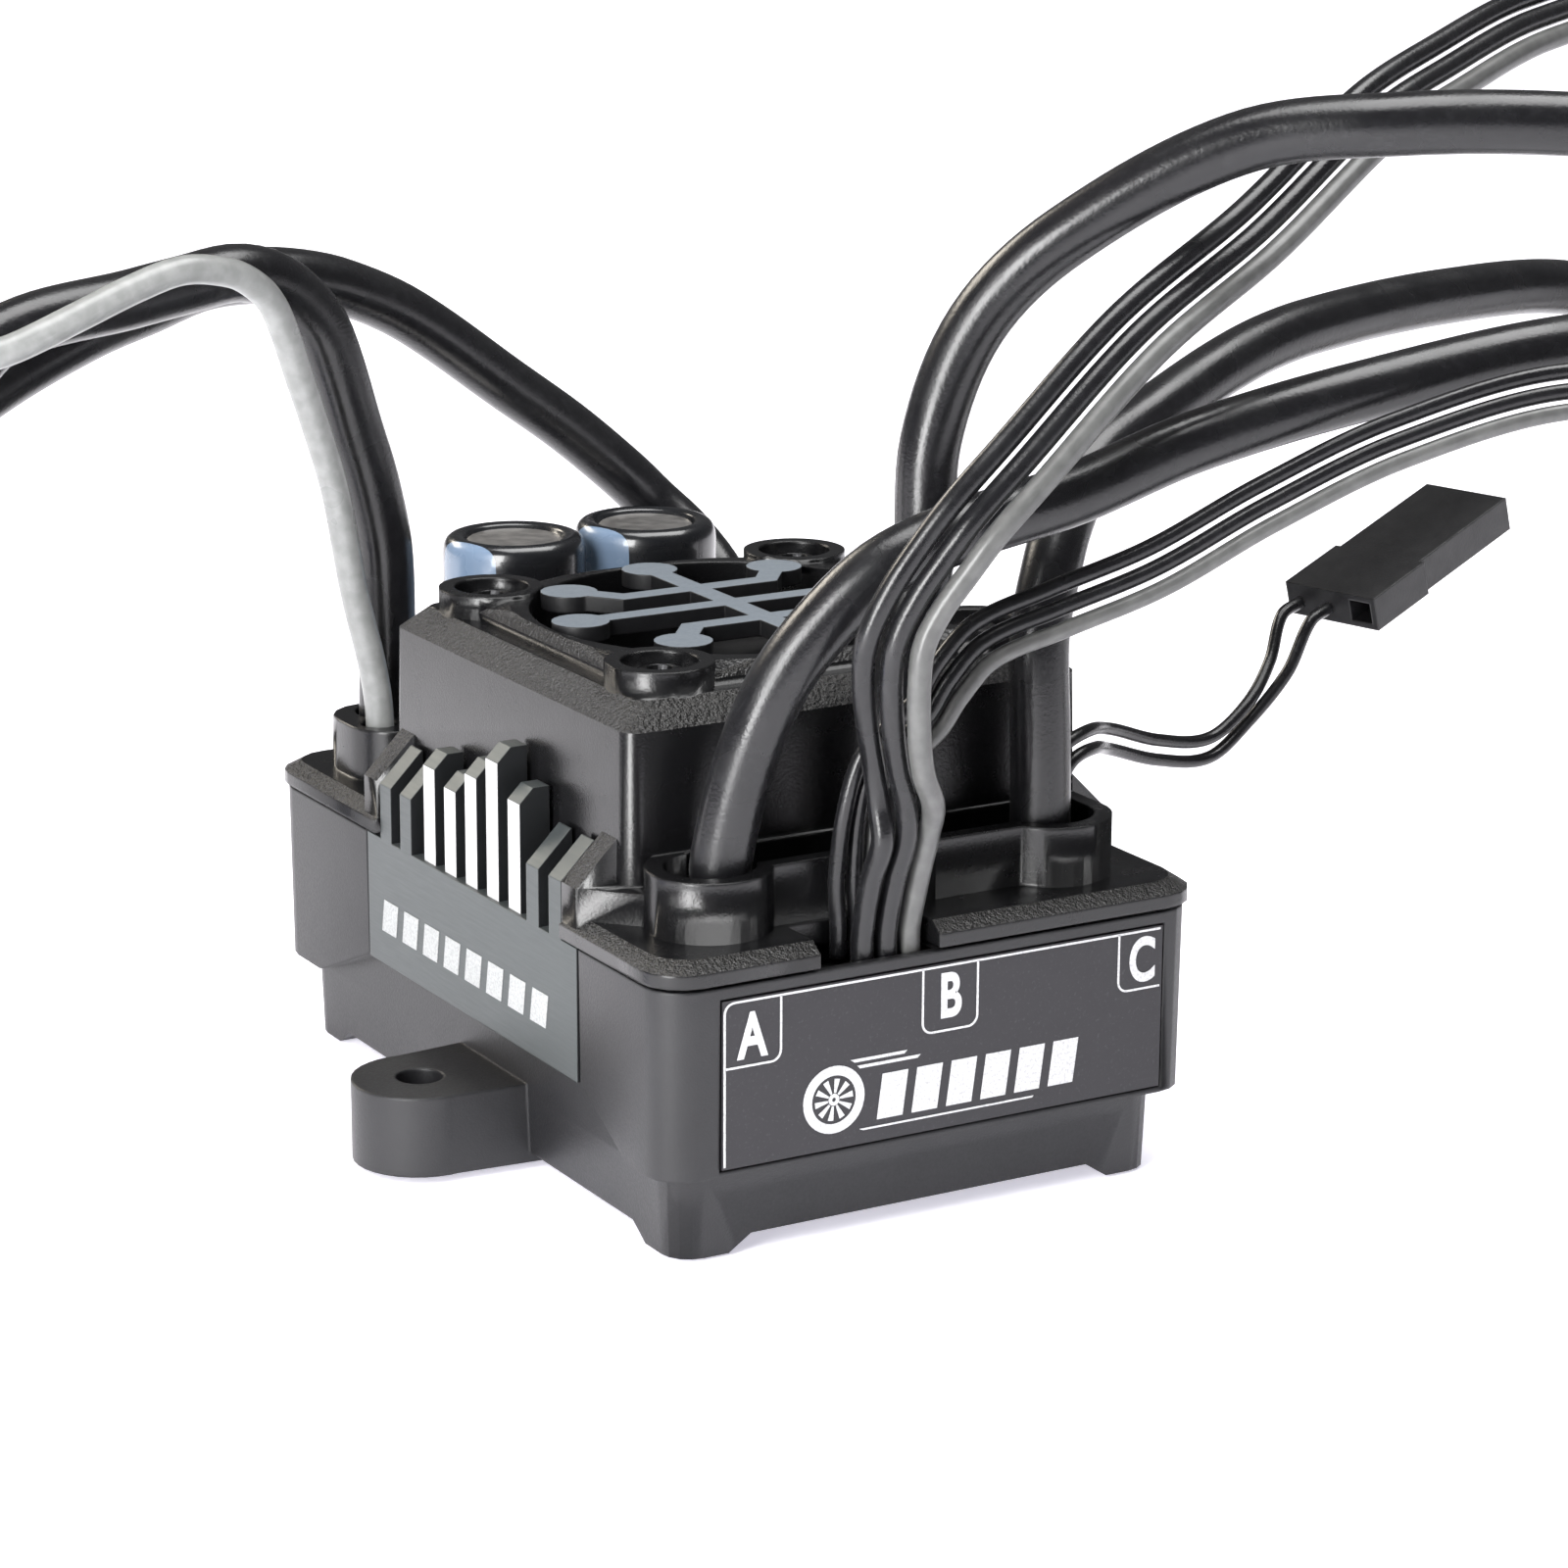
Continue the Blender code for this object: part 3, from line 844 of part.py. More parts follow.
# ---------------------------------------------------------------- plugs and connectors
def slim_plug(name, middle, turn):
    """Three-way slim plug: flat body, wider at its wire end, and three contact windows in its far end."""
    long_half, wide_half, thick_half = (size / 2 for size in AUX_PLUG_SIZE)
    body = new_object(name, box_mesh((-long_half, -wide_half, -thick_half), (long_half, wide_half, thick_half)),
                      PLUG_BLACK)
    body.location = middle
    body.rotation_euler = turn
    tools = [box_mesh((PLUG_GRIP - long_half, side * (wide_half + 0.3 * MM) - 0.7 * MM, -thick_half - 1 * MM),
                      (long_half + 1 * MM, side * (wide_half + 0.3 * MM) + 0.7 * MM, thick_half + 1 * MM))
             for side in (-1, 1)]
    for slot in (-1, 0, 1):
        tools.append(box_mesh((long_half - 6 * MM, slot * 2.54 * MM - 0.6 * MM, -0.6 * MM),
                              (long_half + 1 * MM, slot * 2.54 * MM + 0.6 * MM, 0.6 * MM)))
    tools.append(box_mesh((-long_half - 1 * MM, -2.54 * MM - 0.9 * MM, -0.8 * MM),
                          (-long_half + 3 * MM, -2.54 * MM + 0.9 * MM, 0.8 * MM)))
    for bm in tools:
        carve(body, bm)
        body.modifiers[-1].object.location = middle
        body.modifiers[-1].object.rotation_euler = turn
    return body


slim_plug("aux_plug", AUX_PLUG_MIDDLE, AUX_PLUG_TURN)


def along_end(offsets, anchor, ahead, lift=0.0):
    """Place beyond a route's last point, in the direction of its last stretch."""
    last = Vector(offsets[-1][:3])
    way = (last - Vector(offsets[-2][:3]))
    way.z = 0.0
    way.normalize()
    place = Vector(anchor) + (last + way * ahead) * MM
    place.z += lift * MM
    return place, math.atan2(way.y, way.x)


spot, heading = along_end(SIGNAL_ROUTE, SIGNAL_ANCHOR, AUX_PLUG_SIZE[0] / 2 / MM + 0.4)
signal_plug = slim_plug("signal_plug", (spot.x, spot.y, AUX_PLUG_SIZE[2] / 2 + 0.1 * MM),
                        Euler((0.0, 0.0, heading)))
spot, heading = along_end(SENSOR_ROUTE, SENSOR_ANCHOR, AUX_PLUG_SIZE[0] / 2 / MM + 0.4)
sensor_plug = slim_plug("sensor_plug", (spot.x, spot.y, AUX_PLUG_SIZE[2] / 2 + 0.1 * MM),
                        Euler((0.0, 0.0, heading)))

BULLETS = (
    ("motor_bullet_a", (MOTOR_X - MOTOR_PITCH + 112.6 * MM, MOTOR_Y - 10.7 * MM), 0.0),
    ("motor_bullet_b", (MOTOR_X + 99.5 * MM, MOTOR_Y - 27.7 * MM), 0.0),
    ("motor_bullet_c", (MOTOR_X + MOTOR_PITCH + 88.6 * MM, MOTOR_Y + 23.3 * MM), 1.0),
)
for name, (end_x, end_y), heading in BULLETS:
    bullet = turned(name, (
        (0.0, 14.0 * MM), (1.5 * MM, 14.0 * MM), (2.0 * MM, 13.2 * MM), (2.0 * MM, 6.6 * MM),
        (2.3 * MM, 6.2 * MM), (2.3 * MM, 0.0), (0.0, 0.0),
    ), GOLD, (end_x, end_y, LEAD_START - 16.9 * MM), 16)
    bullet.rotation_euler = Euler((0.0, math.radians(90), math.radians(heading)))

PLUG_Y = (BATTERY_1[1] - 12 * MM + BATTERY_2[1] - 4 * MM) / 2
PLUG_X = BATTERY_1[0] - 59.6 * MM
PLUG_Z = LEAD_START - 14.7 * MM
battery_plug = new_object("battery_plug", stack_mesh((
    (PLUG_Z - 4.2 * MM, 12.0 * MM, 9.6 * MM, 2.0 * MM),
    (PLUG_Z + 4.2 * MM, 12.0 * MM, 9.6 * MM, 2.0 * MM),
), centre=(PLUG_X - 12.0 * MM, PLUG_Y)), PLUG_BLUE)
for side in (-1, 1):
    carve(battery_plug, box_mesh((PLUG_X - 25 * MM, PLUG_Y + side * 4.4 * MM - 2.4 * MM, PLUG_Z - 2.4 * MM),
                                 (PLUG_X - 12 * MM, PLUG_Y + side * 4.4 * MM + 2.4 * MM, PLUG_Z + 2.4 * MM)))
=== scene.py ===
"""Electronic speed controller for a model car, built up piece by piece over its CAD frame.

The case stands on its corner feet, the motor leads rise at the front and the battery leads at the back.
Every size is in metres.
"""

import math

import bmesh
import bpy
import numpy as np
from mathutils import Matrix


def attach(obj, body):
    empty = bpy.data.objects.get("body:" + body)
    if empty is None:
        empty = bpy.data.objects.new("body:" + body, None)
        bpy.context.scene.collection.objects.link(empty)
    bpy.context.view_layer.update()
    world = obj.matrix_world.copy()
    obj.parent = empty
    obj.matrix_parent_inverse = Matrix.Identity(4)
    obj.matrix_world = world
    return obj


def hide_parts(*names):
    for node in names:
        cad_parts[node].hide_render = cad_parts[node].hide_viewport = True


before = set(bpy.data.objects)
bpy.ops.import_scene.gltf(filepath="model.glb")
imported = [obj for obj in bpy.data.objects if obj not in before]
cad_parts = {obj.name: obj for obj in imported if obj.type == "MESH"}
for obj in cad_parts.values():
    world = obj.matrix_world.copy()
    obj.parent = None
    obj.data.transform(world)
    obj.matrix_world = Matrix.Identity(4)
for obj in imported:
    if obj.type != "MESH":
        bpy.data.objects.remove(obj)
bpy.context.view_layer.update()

# Camera. It stands low in front of the case's left corner, with a long lens.
camera_turn = math.radians(30.20)
camera_drop = math.radians(15.49)
camera_roll = math.radians(0.276)
camera_distance = 0.31851
camera_aim = np.array((0.00532, 0.0, 0.02166))
camera_way = np.array((math.sin(camera_turn) * math.cos(camera_drop),
                       math.cos(camera_turn) * math.cos(camera_drop),
                       -math.sin(camera_drop)))
level_right = np.array((math.cos(camera_turn), -math.sin(camera_turn), 0.0))
level_up = np.cross(level_right, camera_way)
camera_right = math.cos(camera_roll) * level_right + math.sin(camera_roll) * level_up
camera_up = np.cross(camera_right, camera_way)
lens = bpy.data.cameras.new("camera")
lens.sensor_width = 36.0
lens.lens = 105.64
lens.clip_start = 0.01
lens.clip_end = 20.0
camera = bpy.data.objects.new("camera", lens)
bpy.context.scene.collection.objects.link(camera)
spot = camera_aim - camera_distance * camera_way
camera.matrix_world = Matrix(np.vstack((np.stack((camera_right, camera_up, -camera_way, spot), 1),
                                        (0.0, 0.0, 0.0, 1.0))).tolist())
bpy.context.scene.camera = camera
bpy.context.scene.view_settings.view_transform = "Standard"


# Motor leads A, B and C and the two battery leads. Each is a bundle of fine copper strands in a soft
# black silicone jacket of 4 mm, soldered to a tab inside the case and standing up through its collar.
def smooth_route(knots, spacing):
    """Even points on a smooth curve through the knots.

    Between two knots the curve is the cubic that starts and ends there with slopes along the chords of the
    neighbouring knots, and its dense points are read off again at even lengths of arc.
    """
    knots = np.asarray(knots, float)
    knots = np.vstack((2 * knots[0] - knots[1], knots, 2 * knots[-1] - knots[-2]))
    before, start, end, after = knots[:-3], knots[1:-2], knots[2:-1], knots[3:]
    reach = np.linalg.norm(end - start, axis=1, keepdims=True)
    leave = (end - before) * reach / np.linalg.norm(end - before, axis=1, keepdims=True)
    arrive = (after - start) * reach / np.linalg.norm(after - start, axis=1, keepdims=True)
    t = (np.arange(24) / 24)[None, :, None]
    dense = (start[:, None] * (2 * t**3 - 3 * t**2 + 1) + leave[:, None] * (t**3 - 2 * t**2 + t)
             + end[:, None] * (3 * t**2 - 2 * t**3) + arrive[:, None] * (t**3 - t**2))
    dense = np.vstack((dense.reshape(-1, 3), knots[-2]))
    run = np.concatenate(([0.0], np.cumsum(np.linalg.norm(np.diff(dense, axis=0), axis=1))))
    even = np.linspace(0.0, run[-1], max(12, int(round(run[-1] / spacing))) + 1)
    return np.stack([np.interp(even, run, dense[:, axis]) for axis in range(3)], axis=1), run[-1]


def shell(name, grid, body, wrap=True, caps=True, smooth=True):
    """A surface on a grid of rings: quads between neighbouring rings, and a fan over each end ring."""
    rings, around = grid.shape[:2]
    points = grid.reshape(-1, 3)
    ring = np.arange(rings - 1)[:, None]
    step = np.arange(around if wrap else around - 1)[None, :]
    after = (step + 1) % around
    quads = np.stack((ring * around + step, ring * around + after,
                      (ring + 1) * around + after, (ring + 1) * around + step), axis=-1).reshape(-1, 4)
    faces = quads.tolist()
    if caps:
        points = np.vstack((points, grid[0].mean(axis=0), grid[-1].mean(axis=0)))
        near, far = rings * around, rings * around + 1
        last = (rings - 1) * around
        around_ids = np.arange(around)
        next_ids = np.roll(around_ids, -1)
        faces += np.stack((next_ids, around_ids, np.full(around, near)), 1).tolist()
        faces += np.stack((last + around_ids, last + next_ids, np.full(around, far)), 1).tolist()
    mesh = bpy.data.meshes.new(name)
    mesh.from_pydata(points.tolist(), [], faces)
    mesh.polygons.foreach_set("use_smooth", [smooth] * len(mesh.polygons))
    made = bpy.data.objects.new(name, mesh)
    bpy.context.scene.collection.objects.link(made)
    if body:
        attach(made, body)
    return made


def tube_grid(path, radius, around=24):
    """Rings square to a path: each ring's first direction is the last one's, made square to the new way."""
    way = np.gradient(path, axis=0)
    way /= np.linalg.norm(way, axis=1, keepdims=True)
    side = np.empty_like(path)
    side[0] = np.cross(way[0], (0.0, 1.0, 0.0))
    side[0] /= np.linalg.norm(side[0])
    for index in range(1, len(path)):
        turned = side[index - 1] - way[index] * (side[index - 1] @ way[index])
        side[index] = turned / np.linalg.norm(turned)
    other = np.cross(way, side)
    angle = np.linspace(0.0, 2 * math.pi, around, endpoint=False)
    radius = np.broadcast_to(radius, (len(path),))[:, None, None]
    return path[:, None] + radius * (np.cos(angle)[None, :, None] * side[:, None]
                                     + np.sin(angle)[None, :, None] * other[:, None])


class Strand:
    """One output of a shader node. Sums written on it become Math nodes."""

    def __init__(self, tree, socket):
        self.tree = tree
        self.socket = socket

    def node(self, kind, settings, sockets, output=0):
        """Add a node of a type, with its settings first and then values or strands for its sockets."""
        made = self.tree.nodes.new("ShaderNode" + kind)
        for key, value in settings.items():
            if key == "stops":
                while len(made.color_ramp.elements) < len(value):
                    made.color_ramp.elements.new(0.5)
                for stop, (place, colour) in zip(made.color_ramp.elements, value):
                    stop.position = place
                    stop.color = colour
            else:
                setattr(made, key, value)
        for key, value in sockets.items():
            if isinstance(value, Strand):
                self.tree.links.new(value.socket, made.inputs[key])
            else:
                made.inputs[key].default_value = value
        return Strand(self.tree, made.outputs[output])

    def math(self, operation, *others):
        return self.node("Math", {"operation": operation}, dict(enumerate((self, *others))))

    def __add__(self, other):
        return self.math("ADD", other)

    def __radd__(self, other):
        return self.math("ADD", other)

    def __sub__(self, other):
        return self.math("SUBTRACT", other)

    def __rsub__(self, other):
        return self.node("Math", {"operation": "SUBTRACT"}, {0: other, 1: self})

    def __mul__(self, other):
        return self.math("MULTIPLY", other)

    def __rmul__(self, other):
        return self.math("MULTIPLY", other)

    def __gt__(self, other):
        return self.math("GREATER_THAN", other)

    def __lt__(self, other):
        return self.math("LESS_THAN", other)

    def noise(self, scale, detail=3.0, roughness=0.5):
        """Cloudy pattern over this place, from 0 to 1."""
        return self.node("TexNoise", {}, {"Vector": self, "Scale": scale, "Detail": detail,
                                          "Roughness": roughness})

    def ease(self, low, high):
        """0 below low, 1 above high and smooth between."""
        return self.node("MapRange", {"interpolation_type": "SMOOTHSTEP"},
                         {"Value": self, "From Min": low, "From Max": high})

    def blend(self, first, second):
        """Colour first where this is 0 and second where it is 1."""
        return self.node("Mix", {"data_type": "RGBA"}, {0: self, 6: first, 7: second}, 2)


class Finish:
    """A Principled material: fixed sockets first, then strands fed to the sockets that vary."""

    def __init__(self, name, fixed):
        self.material = bpy.data.materials.new(name)
        self.material.use_nodes = True
        self.tree = self.material.node_tree
        self.shader = self.tree.nodes["Principled BSDF"]
        for key, value in fixed.items():
            self.shader.inputs[key].default_value = value
        self.place = Strand(self.tree, self.tree.nodes.new("ShaderNodeTexCoord").outputs["Object"])

    def axis(self, letter):
        """Distance along one of the object's own axes."""
        return self.place.node("SeparateXYZ", {}, {"Vector": self.place}, "XYZ".index(letter))

    def facing(self, letter):
        """How far the flat face itself looks along an axis, from -1 to 1."""
        geometry = Strand(self.tree, self.tree.nodes.new("ShaderNodeNewGeometry").outputs["True Normal"])
        return geometry.node("SeparateXYZ", {}, {"Vector": geometry}, "XYZ".index(letter))

    def feed(self, key, strand):
        self.tree.links.new(strand.socket, self.shader.inputs[key])

    def bump(self, height, distance, strength=1.0, edge=None):
        """Bump from a height strand, over edges rounded by a small radius."""
        sockets = {"Height": height, "Distance": distance, "Strength": strength}
        if edge:
            sockets["Normal"] = self.place.node("Bevel", {"samples": 6}, {"Radius": edge})
        self.feed("Normal", self.place.node("Bump", {}, sockets))

    def onto(self, *pieces):
        """Put the finish on each piece, named or made here."""
        for piece in pieces:
            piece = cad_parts[piece] if isinstance(piece, str) else piece
            piece.data.materials.clear()
            piece.data.materials.append(self.material)


jacket = Finish("silicone_jacket", {"Specular IOR Level": 0.5, "Sheen Weight": 0.03, "Sheen Roughness": 0.4})
dust = jacket.place.noise(1500.0, 4.0, 0.7)
jacket.feed("Base Color", dust.ease(0.45, 0.75).blend((0.007, 0.007, 0.008, 1), (0.013, 0.013, 0.0145, 1)))
jacket.feed("Roughness", jacket.place.noise(260.0, 3.0).ease(0.2, 0.8) * 0.12 + 0.2)
jacket.bump(jacket.place.noise(3800.0, 3.0, 0.6), 0.00003, 0.6)


def lead(name, anchor, offsets, diameter, coat, end, **facts):
    """A round wire through offsets in millimetres from its anchor."""
    knots = np.array(anchor) + 0.001 * np.array(offsets, float)
    path, length = smooth_route(knots, 0.25 * diameter)
    around = 28 if diameter > 0.003 else 16
    made = shell(name + "_jacket", tube_grid(path, diameter / 2, around), "housing")
    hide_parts(name)
    coat.onto(made)


thick = 0.004
start_z = 0.0192
lead("motor_lead_a", (-0.0125, -0.0228, start_z), (
    (0, 0, 0), (0, 0, 3), (0, 0, 5.5), (1.3, -0.7, 11.8), (3.2, -1.7, 17), (6.2, -2.7, 21),
    (9.5, -3.7, 24), (14, -4.5, 25.8), (22.6, -5.2, 27.6), (31, -6.2, 30.3), (42.7, -7.4, 32.6),
    (58.9, -9.2, 34.7), (70, -10.2, 34.0), (80, -10.5, 29.8), (87, -10.6, 21.5), (91, -10.7, 10),
    (94.5, -10.7, -2), (99.5, -10.7, -11.5), (105.5, -10.7, -16.3), (112, -10.7, -16.9),
), thick, jacket, ("connector", "motor_bullet_a"), stiffness="medium")
lead("motor_lead_b", (-0.0005, -0.0228, start_z), (
    (0, 0, 0), (0, 0, 3), (0.2, 0, 6), (1, 0.2, 15.1), (3.5, 1.3, 22.5), (4.3, 1.8, 30.5),
    (7, 0.8, 37.9), (11.6, -2.2, 43.5), (20.5, -8.2, 49.5), (28.1, -14.2, 50.9), (37.6, -19.2, 50.9),
    (50, -23.5, 49.5), (60.5, -25.5, 44.3), (68, -26.5, 35.3), (72.5, -27, 23.3), (75.5, -27.2, 10.3),
    (79, -27.4, -2.7), (84.5, -27.6, -12.2), (92, -27.7, -16.3), (99, -27.7, -16.9),
), thick, jacket, ("connector", "motor_bullet_b"), stiffness="medium")
lead("motor_lead_c", (0.0115, -0.0228, start_z), (
    (0, 0, 0), (0, 0, 3), (0, 0, 5.2), (0, 0.2, 10.8), (0.2, 0.8, 17), (1.7, 1.8, 21.1),
    (4.2, 3.8, 24.3), (7.4, 5.8, 26.8), (12.4, 7.8, 28.5), (22.8, 11.3, 31.6), (30.1, 13.3, 32.8),
    (44.9, 16.8, 33.3), (58.9, 19.8, 32.4), (66, 21, 29.4), (70.5, 21.8, 22.5), (72.5, 22.3, 12.5),
    (74, 22.7, 1.5), (76.5, 23, -8.5), (81, 23.2, -15), (88, 23.3, -16.9),
), thick, jacket, ("connector", "motor_bullet_c"), stiffness="medium")
lead("battery_lead_1", (-0.0138, 0.0235, start_z), (
    (0, 0, 0), (0, 0, 4), (0.1, 0, 16), (-1, -0.3, 21.5), (-2.4, -0.5, 25.9), (-3.7, -0.8, 30),
    (-4.9, -1, 33), (-6.4, -1.3, 34.9), (-8.3, -1.7, 36.4), (-10.2, -2.1, 37.2), (-12.4, -2.6, 37.5),
    (-15.8, -3.2, 37.1), (-19.6, -3.8, 36.6), (-29.7, -5, 35), (-34, -6.3, 31), (-37.6, -8, 25.5),
    (-41.6, -9.3, 17), (-44, -10.3, 8), (-45.8, -11, -0.5), (-48.6, -11.7, -9.6), (-52.8, -12, -14.3),
    (-59, -12, -14.7),
), thick, jacket, ("plug", "battery_plug"), stiffness="medium")
lead("battery_lead_2", (0.0156, 0.0246, start_z), (
    (0, 0, 0), (0, 0, 3), (0, 0, 5.9), (-0.2, 1.8, 10.1), (-1.3, 5.4, 13.4), (-3.3, 7.2, 15.8),
    (-5.5, 7.4, 18), (-10.2, 7.4, 22), (-15.3, 7, 25.7), (-23.9, 6, 31.8), (-29.4, 5.2, 34.4),
    (-33, 4.6, 35.4), (-37.1, 3.9, 35.9), (-41.2, 3, 35.8), (-45.3, 2, 34.8), (-50.5, 0.8, 33.5),
    (-58.3, -1.2, 30.6), (-65.6, -2.6, 26.4), (-70.4, -3.3, 19.5), (-72.8, -3.7, 10.5), (-74.4, -3.9, 0.5),
    (-77.2, -4, -9), (-81.8, -4, -14.2), (-88.4, -4, -14.7),
), thick, jacket, ("plug", "battery_plug"), stiffness="medium")

# The data lead, a thin light grey one beside battery lead 1, tells the radio the battery's voltage.
# Its jacket is softer and smoother plastic than the silicone of the thick leads.
grey_jacket = Finish("grey_jacket", {})
grey_jacket.feed("Base Color", grey_jacket.place.noise(900.0, 3.0).ease(0.3, 0.75).blend(
    (0.20, 0.205, 0.20, 1), (0.26, 0.265, 0.26, 1)))
grey_jacket.feed("Roughness", grey_jacket.place.noise(240.0, 2.0) * 0.16 + 0.22)
grey_jacket.bump(grey_jacket.place.noise(3000.0, 2.0), 0.00002, 0.5)
lead("data_lead", (-0.0158, 0.0205, start_z), (
    (0, 0, 0), (0, 0, 5.6), (-0.5, -0.1, 9), (-2, -0.6, 14.6), (-3.6, -1.2, 22.2), (-5.3, -1.9, 27.1),
    (-6.7, -2.5, 30.7), (-8.1, -3.1, 34.3), (-9.2, -3.6, 36.2), (-10.8, -4.2, 37.6), (-12.7, -4.8, 38.5),
    (-16.2, -5.6, 39), (-19.8, -6.2, 38.2), (-24.2, -6.8, 36.7), (-28.5, -7.2, 35.2), (-33, -6.6, 33.8),
    (-37.6, -5, 30.4), (-42, -3.9, 23.5), (-44.6, -4.2, 13), (-46, -4.7, 1), (-48.5, -4.9, -8.4),
    (-52, -5, -14.1), (-57, -5, -14.7),
), 0.0020, grey_jacket, ("plug", "battery_plug"), stiffness="limp")


# Two flat ribbons of three thin wires each, moulded side by side, leave the slot in the front lip.
# The wide one is the throttle signal and the narrow one the motor's sensor; the right wire is grey.
dark_grey_jacket = Finish("dark_grey_jacket", {"Specular IOR Level": 0.5})
dark_grey_jacket.feed("Base Color", dark_grey_jacket.place.noise(900.0, 3.0).ease(0.3, 0.75).blend(
    (0.085, 0.086, 0.084, 1), (0.115, 0.116, 0.113, 1)))
dark_grey_jacket.feed("Roughness", dark_grey_jacket.place.noise(240.0, 2.0) * 0.16 + 0.24)
dark_grey_jacket.bump(dark_grey_jacket.place.noise(3000.0, 2.0), 0.00002, 0.5)


def ribbon(names, anchor, stations, spread, diameter, plug):
    """Three wires side by side: each station gives the middle wire's place and the step to its neighbour."""
    stations = np.array(stations, float)
    for place, name in zip((-spread, 0.0, spread), names):
        lead(name, anchor, stations[:, :3] + place * stations[:, 3:], diameter,
             dark_grey_jacket if place > 0 else jacket, ("plug", plug), stiffness="limp")


ribbon(("signal_wire_a", "signal_wire_b", "signal_wire_c"), (-0.0031, -0.0274, 0.018), (
    (0, 0, 0, 1.7, 0, 0), (0, 0, 1.8, 1.7, 0, 0),
    (0.2, -0.7, 5.4, 1.75, 0, 0), (0.4, -1.6, 8.2, 1.65, 0, 0),
    (0.1, -2.1, 10.5, 1.4, -0.9, 0), (-0.8, -2.6, 13.1, 0.9, -1.4, 0), (-1.5, -3.1, 15.8, 1.0, -1.35, 0),
    (-2, -3.6, 19.1, 1.3, -1.1, 0), (-2, -4.1, 21.7, 1.5, -0.8, -0.2), (-0.9, -4.6, 24.3, 1.4, -0.7, -0.6),
    (0.7, -5.1, 26.7, 1.15, -0.75, -0.95), (2.6, -5.6, 29.2, 1.05, -0.8, -1.0),
    (5.7, -5.6, 32, 1.0, -0.8, -1.05), (15.1, -4.6, 39.5, 1.0, -0.8, -1.05),
    (26.3, -1.6, 44.7, 0.7, -0.8, -1.25), (38.1, 2.4, 50.8, 0.7, -0.9, -1.2),
    (46, 5.4, 53.1, 0.5, -0.9, -1.3), (56.9, 9.4, 55.5, 0.4, -0.9, -1.3),
    (69, 12.4, 56.2, 0.1, -1, -1.3),
    (79, 14, 52.5, -0.4, -1.1, -1.15), (86, 15, 44, -0.8, -1.2, -0.7), (89.5, 15.6, 32, -0.7, -1.45, -0.3),
    (91.2, 16, 18, -0.4, -1.6, 0), (92.5, 16.2, 4, -0.2, -1.65, 0), (94, 16.3, -7, 0, -1.65, 0),
    (97, 16.4, -14.6, 0, -1.8, 0), (102, 16.4, -17, 0, -2.5, 0),
), 1.03, 0.0015, "signal_plug")
ribbon(("sensor_wire_a", "sensor_wire_b", "sensor_wire_c"), (-0.0044, -0.0259, 0.018), (
    (0, 0, 0, 1.2, 0, 0), (0, 0, 2.2, 1.2, 0, 0), (-0.2, -0.1, 5.2, 1.2, 0, 0),
    (-0.1, -0.4, 9.5, 1.1, 0.3, -0.3), (0.6, -0.8, 12.3, 0.8, 0.2, -0.9), (2.2, -1.2, 13.9, 0.5, 0, -1.1),
    (4.2, -1.5, 15.5, 0.6, -0.2, -1.0), (5.7, -1.7, 17.7, 0.6, -0.3, -1.0), (8, -2.1, 20, 0.4, -0.4, -1.05),
    (12.7, -3.1, 21.7, 0.2, -0.5, -1.1), (19.3, -4.6, 24, 0.2, -0.5, -1.1),
    (26.6, -6.1, 27.6, 0.25, -0.5, -1.05), (35, -8.6, 31.4, 0.2, -0.6, -1.0),
    (45.9, -12.1, 34.2, 0, -0.6, -1.05), (55.9, -14.6, 32.8, -0.25, -0.75, -1.0),
    (63.4, -16.1, 26.5, -0.6, -0.9, -0.6), (68.4, -16.5, 17.5, -0.55, -1.05, -0.3),
    (71.6, -16.6, 6.5, -0.25, -1.15, -0.1), (74.7, -16.6, -5, 0, -1.18, 0), (79.4, -16.6, -13.4, 0, -1.2, 0),
    (86.4, -16.6, -16.9, 0, -1.3, 0), (94.4, -16.6, -17.3, 0, -2.5, 0),
), 1.12, 0.0011, "sensor_plug")

# The auxiliary lead: two hair-thin black wires that leave the right collar and end in a plug held up
# by their own stiffness. The plug's third way is empty.
aux_base = np.array((0.014, -0.0201, start_z))
aux_middle = aux_base + np.array((0.0368, 0.01064, 0.01558))
tip, swing = math.radians(-16.8), math.radians(15.8)
swung = np.array(((math.cos(swing), -math.sin(swing), 0),
                  (math.sin(swing), math.cos(swing), 0),
                  (0, 0, 1)))
tipped = np.array(((math.cos(tip), 0, math.sin(tip)),
                   (0, 1, 0),
                   (-math.sin(tip), 0, math.cos(tip))))
aux_turn = swung @ tipped
plug_back, plug_width = -8.6, 7.8
aux_route = np.array(((0, 0, 0), (0, 0, 3.4), (0, -0.2, 6.0), (1.0, -0.2, 7.9), (3.6, 0.8, 8.5),
                      (7.1, 3.6, 7.5), (12.7, 5.6, 5.5), (17.6, 6.6, 4.8), (21.2, 7.3, 6.6),
                      (24.4, 8.1, 9.4)))
for name, slot_place, shift in (("aux_wire_a", -1 / 3, 0.7), ("aux_wire_b", 0.0, -0.7)):
    quarter = np.clip((np.arange(10) - 2) / 3, 0.0, 1.0) * math.pi / 2
    beside = np.stack((-np.cos(quarter), np.zeros(10), np.sin(quarter)), 1)
    beside[-1] = (-0.3, 1.1, 0.35)
    socket = np.array((plug_back, -slot_place * plug_width * 0.98, 0.0))
    inside = 1000 * (aux_middle - aux_base)
    lead(name, aux_base, np.vstack((aux_route + shift * beside, inside + aux_turn @ (socket - (2.2, 0, 0)),
                                    inside + aux_turn @ socket)),
         0.0009, jacket, ("plug", "aux_plug"), stiffness="limp")

